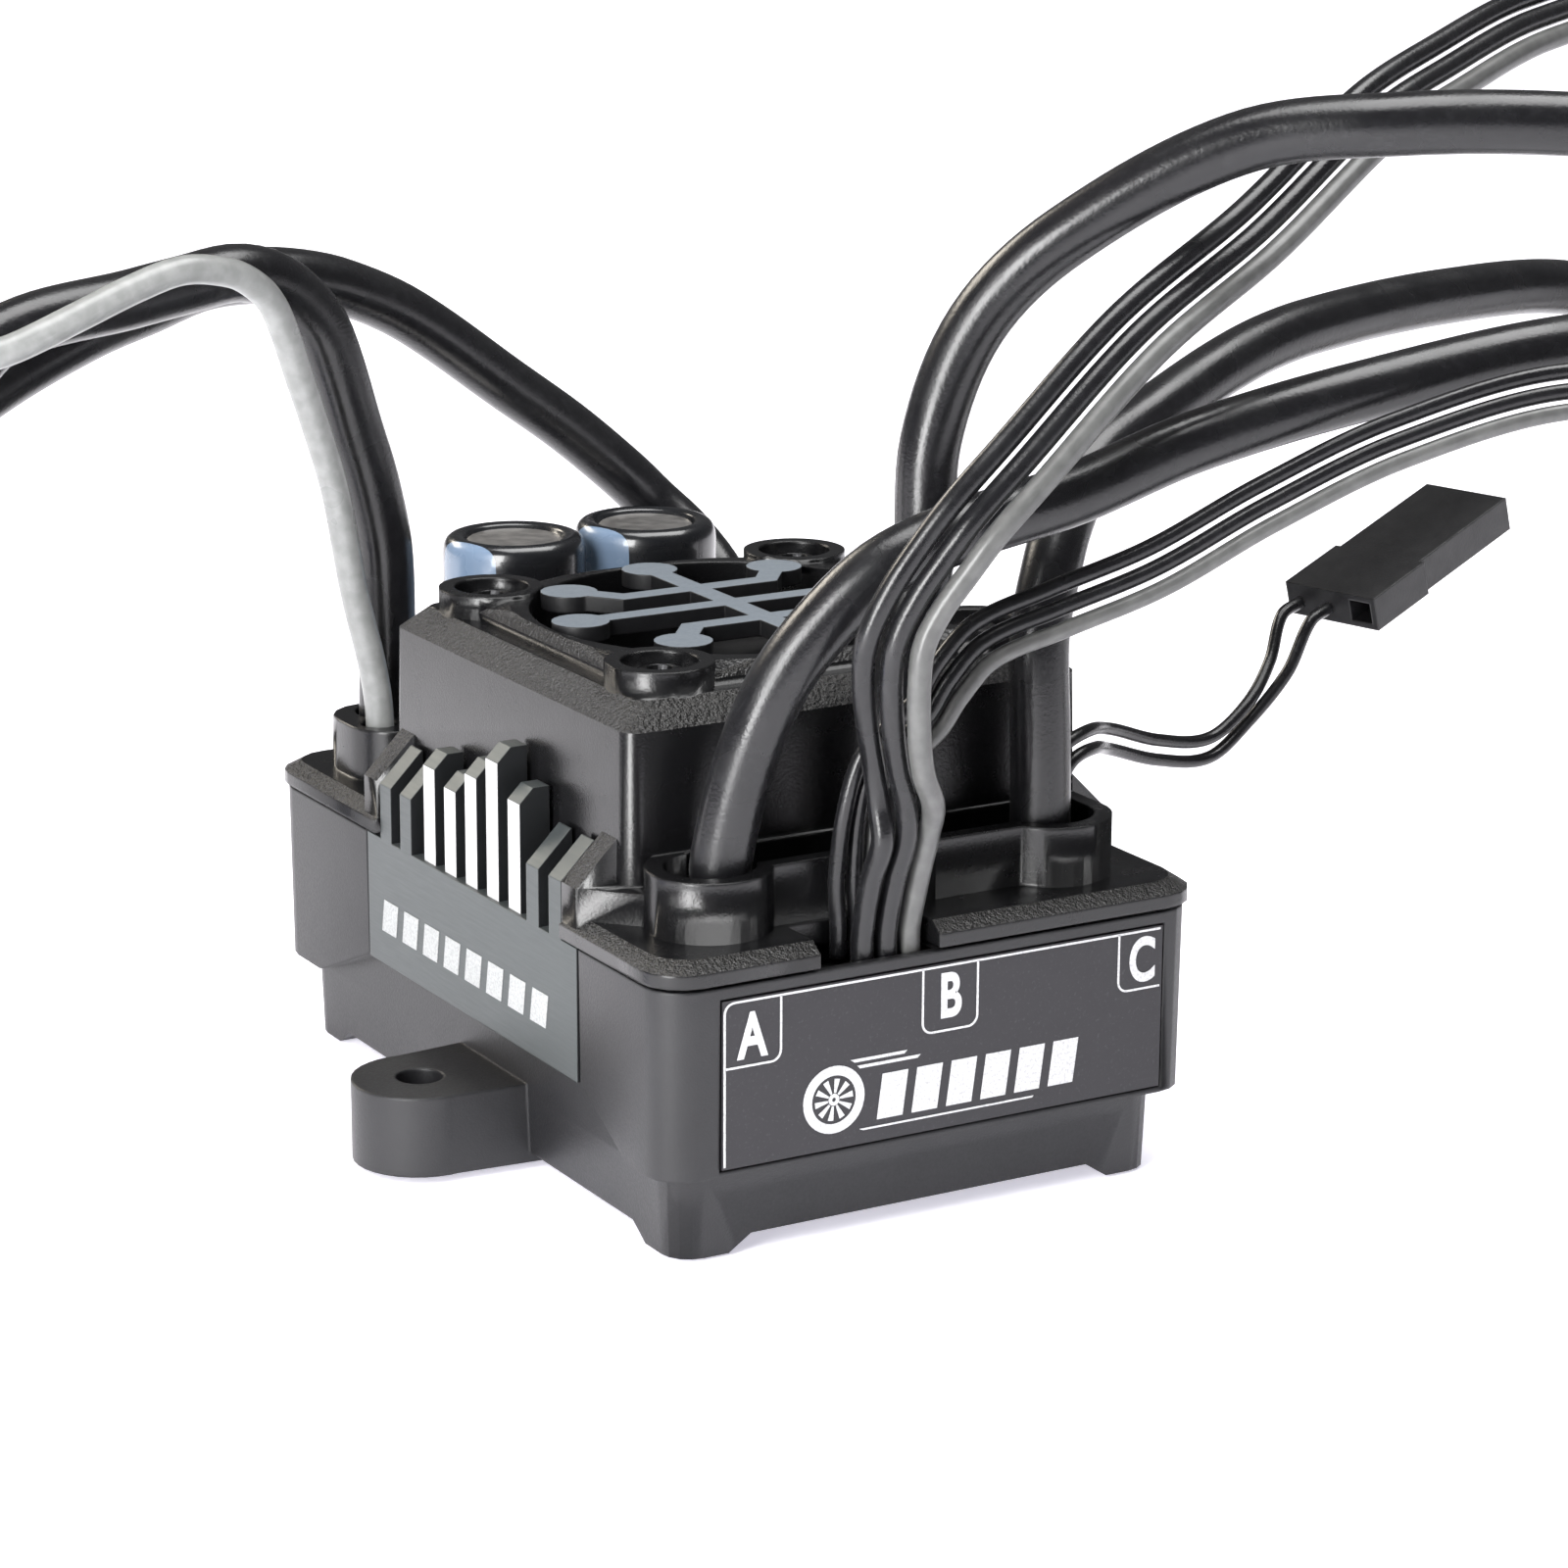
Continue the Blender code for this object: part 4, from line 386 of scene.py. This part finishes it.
# Slim three-way plugs on the thin wires: black nylon shells with a keying step and contact windows.
nylon = Finish("black_nylon", {"Base Color": (0.012, 0.012, 0.013, 1)})
nylon.feed("Roughness", nylon.place.noise(900.0, 3.0) * 0.2 + 0.28)
nylon.bump(nylon.place.noise(5200.0, 2.0), 0.00002, 0.5, edge=0.00018)
nylon.onto("aux_plug", "signal_plug", "sensor_plug")

# The battery plug, a blue nylon shell over two sockets, and the motor leads' gold-plated brass bullets.
blue_nylon = Finish("blue_nylon", {"Base Color": (0.02, 0.06, 0.27, 1)})
blue_nylon.feed("Roughness", blue_nylon.place.noise(700.0, 3.0) * 0.2 + 0.3)
blue_nylon.bump(blue_nylon.place.noise(4200.0, 2.0), 0.00003, 0.5, edge=0.0005)
blue_nylon.onto("battery_plug")
gold_plate = Finish("gold_plate", {"Base Color": (0.83, 0.58, 0.22, 1), "Metallic": 1.0})
gold_plate.feed("Roughness", gold_plate.place.noise(600.0, 3.0) * 0.2 + 0.15)
gold_plate.bump(gold_plate.place.noise(2500.0, 2.0), 0.00001, 0.4)
gold_plate.onto("motor_bullet_a", "motor_bullet_b", "motor_bullet_c")


# The curved mouldings of the case and fan: nylon and painted sheet whose corners are rounded. Each is
# taken over from the frame with its loose facets joined up.
def moulded_copy(name):
    """A CAD solid's faces with shared corners made one.

    Neighbours that turn by less than the sharp angle are shaded as one curved face.
    """
    sharp_turn = math.radians(38.0)
    joined = bmesh.new()
    joined.from_mesh(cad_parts[name].data)
    bmesh.ops.remove_doubles(joined, verts=joined.verts, dist=0.000002)
    bmesh.ops.dissolve_limit(joined, angle_limit=math.radians(1.0), verts=joined.verts, edges=joined.edges)
    mesh = bpy.data.meshes.new(name + "_moulding")
    joined.to_mesh(mesh)
    joined.free()
    mesh.polygons.foreach_set("use_smooth", [True] * len(mesh.polygons))
    mesh.set_sharp_from_angle(angle=sharp_turn)
    made = bpy.data.objects.new(name + "_moulding", mesh)
    bpy.context.scene.collection.objects.link(made)
    flats = made.modifiers.new("flats_stay_flat", "WEIGHTED_NORMAL")
    flats.weight = 90
    flats.keep_sharp = True
    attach(made, "housing")
    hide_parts(name)
    return made


# The lower case: a deep tray moulded in charcoal nylon with a fine satin grain, standing on four
# corner feet, with a screw ear low on each side.
case_grain = Finish("satin_case_plastic", {"Specular IOR Level": 0.5})
cloud = case_grain.place.noise(160.0, 4.0, 0.6)
case_grain.feed("Base Color", cloud.ease(0.3, 0.7).blend(
    (0.0105, 0.0105, 0.0118, 1), (0.0145, 0.0145, 0.016, 1)))
case_grain.feed("Roughness", case_grain.place.noise(5000.0, 2.0) * 0.16 + 0.36)
case_grain.bump(case_grain.place.noise(6500.0, 2.0, 0.5), 0.00003, 0.5, edge=0.0003)
case_grain.onto(moulded_copy("lower_case"))

# The front label: a dark printed film let into the front wall. It has thin white rules, a little box
# for each motor lead's letter, and a plain wheel with six slanted blocks beside it.
label_film = Finish("label_film", {"Specular IOR Level": 0.45})
speck = label_film.place.noise(4200.0, 3.0, 0.7)
label_film.feed("Base Color", speck.ease(0.55, 0.8).blend((0.017, 0.016, 0.019, 1), (0.040, 0.038, 0.043, 1)))
label_film.feed("Roughness", label_film.place.noise(900.0, 2.0) * 0.12 + 0.4)
label_film.bump(speck, 0.00001, 0.4)
label_film.onto("front_label")
white_ink = Finish("white_ink", {"Roughness": 0.55})
white_ink.feed("Base Color", white_ink.place.noise(5200.0, 3.0, 0.7).ease(0.3, 0.6).blend(
    (0.42, 0.42, 0.43, 1), (0.66, 0.66, 0.67, 1)))
white_ink.bump(white_ink.place.noise(4000.0, 2.0), 0.00001, 0.3)
label_front = -0.029


def rule(name, corners, width, radius=0.0007):
    """A printed line: a flat strip along corners, each inner corner turned through a quarter circle."""
    corners = np.array(corners, float)
    path = [corners[0]]
    for before, corner, after in zip(corners, corners[1:], corners[2:]):
        back = (before - corner) / np.linalg.norm(before - corner)
        on = (after - corner) / np.linalg.norm(after - corner)
        angle = np.linspace(0.0, math.pi / 2, 7)[:, None]
        path.extend(corner + radius * (back * (1 - np.sin(angle)) + on * (1 - np.cos(angle))))
    path.append(corners[-1])
    path = np.array(path)
    way = np.gradient(path, axis=0)
    way /= np.linalg.norm(way, axis=1, keepdims=True)
    across = np.stack((-way[:, 1], way[:, 0]), 1) * width / 2
    ring = np.stack((path - across, path + across), 1)
    front = np.stack((ring[..., 0], np.full(ring.shape[:2], label_front - 0.00005), ring[..., 1]), -1)
    back = front[:, ::-1] + (0.0, 0.00004, 0.0)
    return shell(name, np.concatenate((front, back), axis=1), "housing", smooth=False)


def stamp(name, blocks, origin, along, up, height=0.00004):
    """Flat printed blocks. A block's four corners are distances along and up from origin, in millimetres.

    The ink stands off the surface by height, along the cross product of the two ways.
    """
    along, up = np.array(along, float), np.array(up, float)
    blocks = 0.001 * np.array(blocks, float)
    flat = np.array(origin) + blocks[..., :1] * along + blocks[..., 1:] * up
    points = np.concatenate((flat + height * np.cross(along, up), flat), axis=1).reshape(-1, 3)
    faces = np.array(((0, 1, 2, 3), (7, 6, 5, 4), (0, 4, 5, 1), (1, 5, 6, 2), (2, 6, 7, 3), (3, 7, 4, 0)))
    faces = (faces[None] + 8 * np.arange(len(blocks))[:, None, None]).reshape(-1, 4)
    mesh = bpy.data.meshes.new(name)
    mesh.from_pydata(points.tolist(), [], faces.tolist())
    made = bpy.data.objects.new(name, mesh)
    bpy.context.scene.collection.objects.link(made)
    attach(made, "housing")
    return made


def ring_blocks(centre, inner, outer, count, share=1.0):
    """Blocks round a circle, each between two radii and over a share of its step, corners anticlockwise."""
    start = 2 * math.pi * np.arange(count)[:, None] / count
    angle = start + 2 * math.pi * share / count * np.array((0, 0, 1, 1))
    radius = np.array((inner, outer, outer, inner))
    return np.stack((centre[0] + radius * np.cos(angle), centre[1] + radius * np.sin(angle)), -1)


wheel = (-7.8, 9.72)
tyre = ring_blocks(wheel, 1.62, 2.25, 40)
spokes = ring_blocks(wheel, 0.45, 1.4, 10, 0.45)
hub = ring_blocks(wheel, 0.15, 0.4, 12)
block = np.array(((0.0, 0.0), (1.9, 0.0), (2.3, 3.0), (0.4, 3.0)))
block_pitch = 2.6
places = np.array([(block_pitch * place, 0.0) for place in range(6)])[:, None]
blocks = np.array((-4.6, 7.85)) + places + block
speed_lines = [[(-6.3, 11.95), (-2.6, 11.95), (-2.4, 12.15), (-6.6, 12.15)],
               [(-5.9, 11.5), (-1.6, 11.5), (-1.4, 11.7), (-6.1, 11.7)],
               [(-5.6, 7.3), (7.2, 7.3), (7.3, 7.42), (-5.9, 7.42)]]
left, right, low, high = -0.01575, 0.0170, 0.00657, 0.01733
line = 0.00014
rules = [
    rule("label_frame", ((left, low), (left, high), (right, high)), line),
    rule("label_box_a", ((left, 0.01305), (-0.0117, 0.01305), (-0.0117, high)), line),
    rule("label_box_b", ((-0.00126, high), (-0.00126, 0.0130), (0.00286, 0.0130), (0.00286, high)), line),
    rule("label_box_c", ((0.01375, high), (0.01375, 0.0134), (right, 0.0134)), line),
]
letter_size, letter_squeeze = 0.0041, 0.72
for letter, letter_x, letter_z in (("A", -0.01375, 0.01365), ("B", 0.0008, 0.01395), ("C", 0.0156, 0.0140)):
    text = bpy.data.curves.new("letter", "FONT")
    text.body = letter
    text.align_x = "CENTER"
    text.size = letter_size
    text.offset = 0.00012
    text.extrude = 0.00002
    flat = bpy.data.objects.new("letter_curve", text)
    bpy.context.scene.collection.objects.link(flat)
    bpy.context.view_layer.update()
    mesh = bpy.data.meshes.new_from_object(flat.evaluated_get(bpy.context.evaluated_depsgraph_get()))
    bpy.data.objects.remove(flat)
    points = np.empty(3 * len(mesh.vertices), np.float32)
    mesh.vertices.foreach_get("co", points)
    points = points.reshape(-1, 3)
    placed = np.stack((letter_x + letter_squeeze * points[:, 0], label_front - 0.00003 - points[:, 2],
                       letter_z + points[:, 1]), 1)
    mesh.vertices.foreach_set("co", placed.ravel())
    printed = bpy.data.objects.new("label_letter_" + letter.lower(), mesh)
    bpy.context.scene.collection.objects.link(printed)
    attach(printed, "housing")
    rules.append(printed)
badge = np.concatenate((tyre, spokes, hub, blocks, speed_lines))
rules.append(stamp("label_badge", badge, (0.0, label_front, 0.0), (1, 0, 0), (0, 0, 1)))
white_ink.onto(*rules)

# The top cover with its fan tower: one glossy black moulding. The mould was polished on the flats and
# spark-eroded on every chamfer, which leaves a coarse sparkling grain there.
cover = Finish("gloss_cover_plastic", {"Specular IOR Level": 0.5})
up = cover.facing("Z")
slope = up.math("ABSOLUTE").ease(0.3, 0.42) * (1.0 - up.math("ABSOLUTE").ease(0.9, 0.97))
grain = cover.place.noise(3400.0, 2.0, 0.6)
scuff = cover.place.noise(300.0, 5.0, 0.7)
cover.feed("Base Color", slope.blend((0.0045, 0.0045, 0.005, 1), (0.034, 0.033, 0.032, 1)))
cover.feed("Roughness", scuff * 0.14 + 0.19 + slope * 0.16)
cover.bump(grain * slope + cover.place.noise(5200.0, 2.0) * 0.015, 0.0009, 1.0, edge=0.0003)
cover.onto(moulded_copy("top_cover"))

# The finned side plates: aluminium combs anodised blue-grey, with the five middle fins' fronts painted white;
# their ends lean back against the tower.
fins = Finish("anodised_fins", {"Specular IOR Level": 0.5})
out = fins.axis("X").math("ABSOLUTE")
sideways = fins.facing("X").math("ABSOLUTE")
fan_offset, white_reach, white_from = 0.0018, 0.0075, 0.0166
along = (fins.axis("Y") + fan_offset).math("ABSOLUTE")
fronts = (out < 0.0198) * (out > 0.0195)
white = fronts * (sideways > 0.9) * (along < white_reach) * (fins.axis("Z") > white_from)
brushed = fins.place.node("Mapping", {"vector_type": "POINT"},
                          {"Vector": fins.place, "Scale": (1.0, 0.06, 1.0)})
streak = brushed.noise(5200.0, 3.0, 0.6)
# Painted shade: the anodised blue-grey stays on faces that look out sideways or up, while the fins' flanks
# and undersides are painted near black as the shade between the fins.
lit_faces = (sideways > 0.5) + (fins.facing("Z") > 0.5)
lit_and_shaded_tone = lit_faces.math("MINIMUM", 1.0).blend((0.012, 0.013, 0.014, 1), (0.062, 0.070, 0.071, 1))
fins.feed("Base Color", white.blend(lit_and_shaded_tone, (0.52, 0.52, 0.53, 1)))
fins.feed("Metallic", 0.35 - white * 0.35)
fins.feed("Roughness", streak * 0.2 + 0.34)
fins.bump(streak, 0.00001, 0.5, edge=0.00012)
fins.onto("finned_plate_left", "finned_plate_right")

# Each plate carries a plain row of eight slanted blocks, printed in grey below its fins.
plate_ink = Finish("plate_ink", {"Roughness": 0.5})
plate_ink.feed("Base Color", plate_ink.place.noise(5200.0, 3.0, 0.7).ease(0.3, 0.6).blend(
    (0.26, 0.27, 0.27, 1), (0.38, 0.39, 0.39, 1)))
plate_ink.bump(plate_ink.place.noise(4000.0, 2.0), 0.00001, 0.3)
mark_pitch, mark_height = 3.2, 2.3
row = [[(mark_pitch * place, 0.0), (mark_pitch * place + 2.2, 0.0),
        (mark_pitch * place + 2.6, mark_height), (mark_pitch * place + 0.4, mark_height)]
       for place in range(8)]
plate_marks = (stamp("plate_marks_left", row, (-0.020, 0.0116, 0.0118), (0, -1, 0), (0, 0, 1)),
               stamp("plate_marks_right", row, (0.020, -0.0136, 0.0118), (0, 1, 0), (0, 0, 1)))
plate_ink.onto(*plate_marks)

# The fan: a 30 mm frame on struts, its rotor of seven skewed blades on a steel shaft, all in black plastic.
fan_plastic = Finish("fan_plastic", {"Base Color": (0.006, 0.006, 0.0065, 1)})
fan_plastic.feed("Roughness", fan_plastic.place.noise(800.0, 3.0) * 0.2 + 0.3)
fan_plastic.bump(fan_plastic.place.noise(5000.0, 2.0), 0.00002, 0.4, edge=0.0002)
fan_plastic.onto(moulded_copy("fan_frame"), "fan_rotor")

# The fan guard: discs on branching bars, cut from sheet and painted blue-grey on top only.
guard_paint = Finish("guard_paint", {"Specular IOR Level": 0.5})
top_face = guard_paint.facing("Z") > 0.9
fleck = guard_paint.place.noise(3600.0, 3.0, 0.7).ease(0.3, 0.8)
paint = fleck.blend((0.135, 0.155, 0.178, 1), (0.165, 0.188, 0.212, 1))
guard_paint.feed("Base Color", top_face.blend((0.006, 0.006, 0.007, 1), paint))
guard_paint.feed("Roughness", guard_paint.place.noise(1200.0, 2.0) * 0.2 + 0.38)
guard_paint.bump(guard_paint.place.noise(3500.0, 3.0, 0.6), 0.00002, 0.5, edge=0.00015)
guard_paint.onto(moulded_copy("fan_guard"))

# Black-oxide screws: four through the fan's corners, sunk in their bosses, and four under the case.
screw_steel = Finish("screw_steel", {"Metallic": 1.0, "Base Color": (0.045, 0.045, 0.047, 1)})
screw_steel.feed("Roughness", screw_steel.place.noise(2000.0, 3.0) * 0.25 + 0.2)
screw_steel.bump(screw_steel.place.noise(4000.0, 2.0), 0.00001, 0.4, edge=0.00012)
screw_steel.onto("fan_shaft", *["fan_screw_%d" % number for number in (1, 2, 3, 4)],
                 *["case_screw_%d" % number for number in (1, 2, 3, 4)])

# The two capacitors stand side by side behind the tower. Each is an aluminium can in a shrunk sleeve
# of black film with a pale blue stripe on its negative side; the sleeve's edge curls over the top.
can_sleeve = Finish("can_sleeve", {"Coat Weight": 0.4, "Coat Roughness": 0.08})
can_metal = Finish("can_metal", {"Metallic": 1.0, "Base Color": (0.62, 0.60, 0.58, 1)})
can_metal.feed("Roughness", can_metal.place.noise(900.0, 3.0) * 0.2 + 0.26)
can_metal.bump(can_metal.place.noise(2600.0, 3.0), 0.00002, 0.4)


def turned(name, centre, profile, body, around=72):
    """A profile of radius and height carried once round a vertical axis."""
    profile = np.array(profile, float)
    angle = np.linspace(0.0, 2 * math.pi, around, endpoint=False)[None, :]
    radius, height = profile[:, :1], profile[:, 1:]
    grid = np.stack((centre[0] + radius * np.cos(angle), centre[1] + radius * np.sin(angle),
                     height + 0 * angle), -1)
    return shell(name, grid, body)


can_middles, can_y = (-0.00345, 0.00725), 0.0236
stripe_from, can_reach = 0.0044, 0.0053
cans = []
for number, can_x in enumerate(can_middles, 1):
    sleeve = turned("capacitor_%d_sleeve" % number, (can_x, can_y), (
        (0.0046, 0.0206), (0.0050, 0.0207), (0.00515, 0.0210), (0.00515, 0.0230), (0.00515, 0.0280),
        (0.00515, 0.0342), (0.00512, 0.0348), (0.00502, 0.03522), (0.00484, 0.03552), (0.00458, 0.03572),
        (0.00428, 0.0358), (0.00398, 0.03578), (0.00372, 0.03570), (0.00355, 0.03558),
        (0.00350, 0.0350)), "housing")
    top = turned("capacitor_%d_can_top" % number, (can_x, can_y), (
        (0.00347, 0.0350), (0.00345, 0.0353), (0.0033, 0.03545), (0.0030, 0.0354), (0.0026, 0.03544),
        (0.0015, 0.03548), (0.0004, 0.03549)), "housing")
    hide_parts("capacitor_%d" % number)
    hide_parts("capacitor_%d" % number)
    can_metal.onto(top)
    cans.append(sleeve)
marks = []
for can_x in can_middles:
    across = can_sleeve.axis("X") - can_x
    along_y = can_sleeve.axis("Y") - can_y
    leaning = along_y * -0.30 - across * 0.95
    inside = across.math("ABSOLUTE") < can_reach
    marks.append((leaning > stripe_from) * inside)
mark = (marks[0] + marks[1]).math("MINIMUM", 1.0)
can_sleeve.feed("Base Color", mark.blend((0.006, 0.0065, 0.008, 1), (0.15, 0.21, 0.30, 1)))
can_sleeve.feed("Roughness", can_sleeve.place.noise(500.0, 3.0) * 0.15 + 0.2)
can_sleeve.bump(can_sleeve.place.noise(500.0, 2.0), 0.00006, 0.4)
can_sleeve.onto(*cans)

# Inside: two green glass-laminate boards, power chips under a silicone pad, an extruded aluminium
# heatsink under the fan, and tinned copper tabs that the leads are soldered to.
board = Finish("green_board", {"Roughness": 0.35})
board.feed("Base Color", board.place.noise(1400.0, 2.0).ease(0.45, 0.55).blend(
    (0.008, 0.06, 0.025, 1), (0.012, 0.085, 0.035, 1)))
board.bump(board.place.noise(2600.0, 2.0), 0.00002, 0.4)
board.onto("power_board", "control_board")
moulded = Finish("moulded_package", {"Base Color": (0.014, 0.014, 0.015, 1)})
moulded.feed("Roughness", moulded.place.noise(2500.0, 3.0) * 0.2 + 0.45)
moulded.bump(moulded.place.noise(5200.0, 2.0), 0.00002, 0.5, edge=0.0001)
moulded.onto("board_header", "signal_header", *["mosfet_%d" % number for number in (1, 2, 3, 4)])
pad = Finish("silicone_pad", {"Roughness": 0.85})
pad.feed("Base Color", pad.place.noise(1800.0, 4.0).blend((0.20, 0.23, 0.30, 1), (0.28, 0.31, 0.38, 1)))
pad.bump(pad.place.noise(2200.0, 3.0), 0.00004, 0.6)
pad.onto("thermal_pad")
extrusion = Finish("plain_extrusion", {"Metallic": 1.0, "Base Color": (0.68, 0.68, 0.69, 1)})
drawn = extrusion.place.node("Mapping", {"vector_type": "POINT"},
                             {"Vector": extrusion.place, "Scale": (1.0, 0.05, 1.0)})
extrusion.feed("Roughness", drawn.noise(4200.0, 3.0) * 0.3 + 0.22)
extrusion.bump(drawn.noise(5200.0, 3.0), 0.00002, 0.6)
extrusion.onto("heatsink")
tinned = Finish("tinned_copper", {"Metallic": 1.0})
tinned.feed("Base Color", tinned.place.noise(900.0, 3.0).ease(0.4, 0.7).blend(
    (0.72, 0.42, 0.26, 1), (0.66, 0.64, 0.62, 1)))
tinned.feed("Roughness", tinned.place.noise(1500.0, 3.0) * 0.3 + 0.2)
tinned.onto("motor_tab_a", "motor_tab_b", "motor_tab_c", "battery_tab_1", "battery_tab_2")

# The studio: a white paper sweep under the case, a broad softbox overhead, a paler one and a small
# strip to the left, and a warm one behind. The paper glows a little, so that it stays white.
reach, floor_height = 6, -0.0002
ways = np.linspace(-reach, reach, 2)
corners = np.stack(np.meshgrid(ways, ways, [floor_height]), -1).reshape(2, 2, 3)
floor = shell("floor", corners, None, wrap=False, caps=False)
paper = Finish("white_sweep", {"Roughness": 0.9, "Specular IOR Level": 0.1,
                               "Emission Color": (0.90, 0.88, 1.0, 1), "Emission Strength": 0.58})
paper.feed("Base Color", paper.place.noise(6.0, 2.0).blend((0.88, 0.875, 0.895, 1), (0.90, 0.895, 0.915, 1)))
floor.data.materials.append(paper.material)
world = bpy.data.worlds.new("studio")
bpy.context.scene.world = world
world.use_nodes = True
sky = world.node_tree.nodes["Background"]
sky.inputs["Color"].default_value = (0.97, 0.975, 1.0, 1)
sky.inputs["Strength"].default_value = 0.10


def softbox(name, place, aim, width, height, power):
    """An area light that stands at place and looks at aim."""
    light = bpy.data.lights.new(name, "AREA")
    light.shape = "RECTANGLE"
    light.size = width
    light.size_y = height
    light.energy = power
    stand = bpy.data.objects.new(name, light)
    bpy.context.scene.collection.objects.link(stand)
    back = np.array(place, float) - np.array(aim, float)
    back /= np.linalg.norm(back)
    side = np.cross((0.0, 1.0, 0.0) if abs(back[2]) > 0.9 else (0.0, 0.0, 1.0), back)
    side /= np.linalg.norm(side)
    over = np.cross(back, side)
    stand.matrix_world = Matrix(np.vstack((np.stack((side, over, back, place), 1), (0, 0, 0, 1))).tolist())
    return stand


softbox("overhead_softbox", (0.15, -0.05, 0.90), (0, 0, 0.02), 0.9, 0.6, 13.0)
softbox("left_softbox", (-0.85, -0.10, 0.45), (0, 0, 0.02), 0.4, 0.5, 1.5)
side_strip = softbox("side_strip", (-0.20, -0.12, 0.10), (-0.01, 0.01, 0.04), 0.08, 0.18, 0.9)
side_strip.visible_camera = False
back_box = softbox("back_softbox", (-0.28, 0.85, 0.52), (0, 0, 0.02), 0.6, 0.25, 4.5)
back_box.data.color = (1.0, 0.92, 0.80)
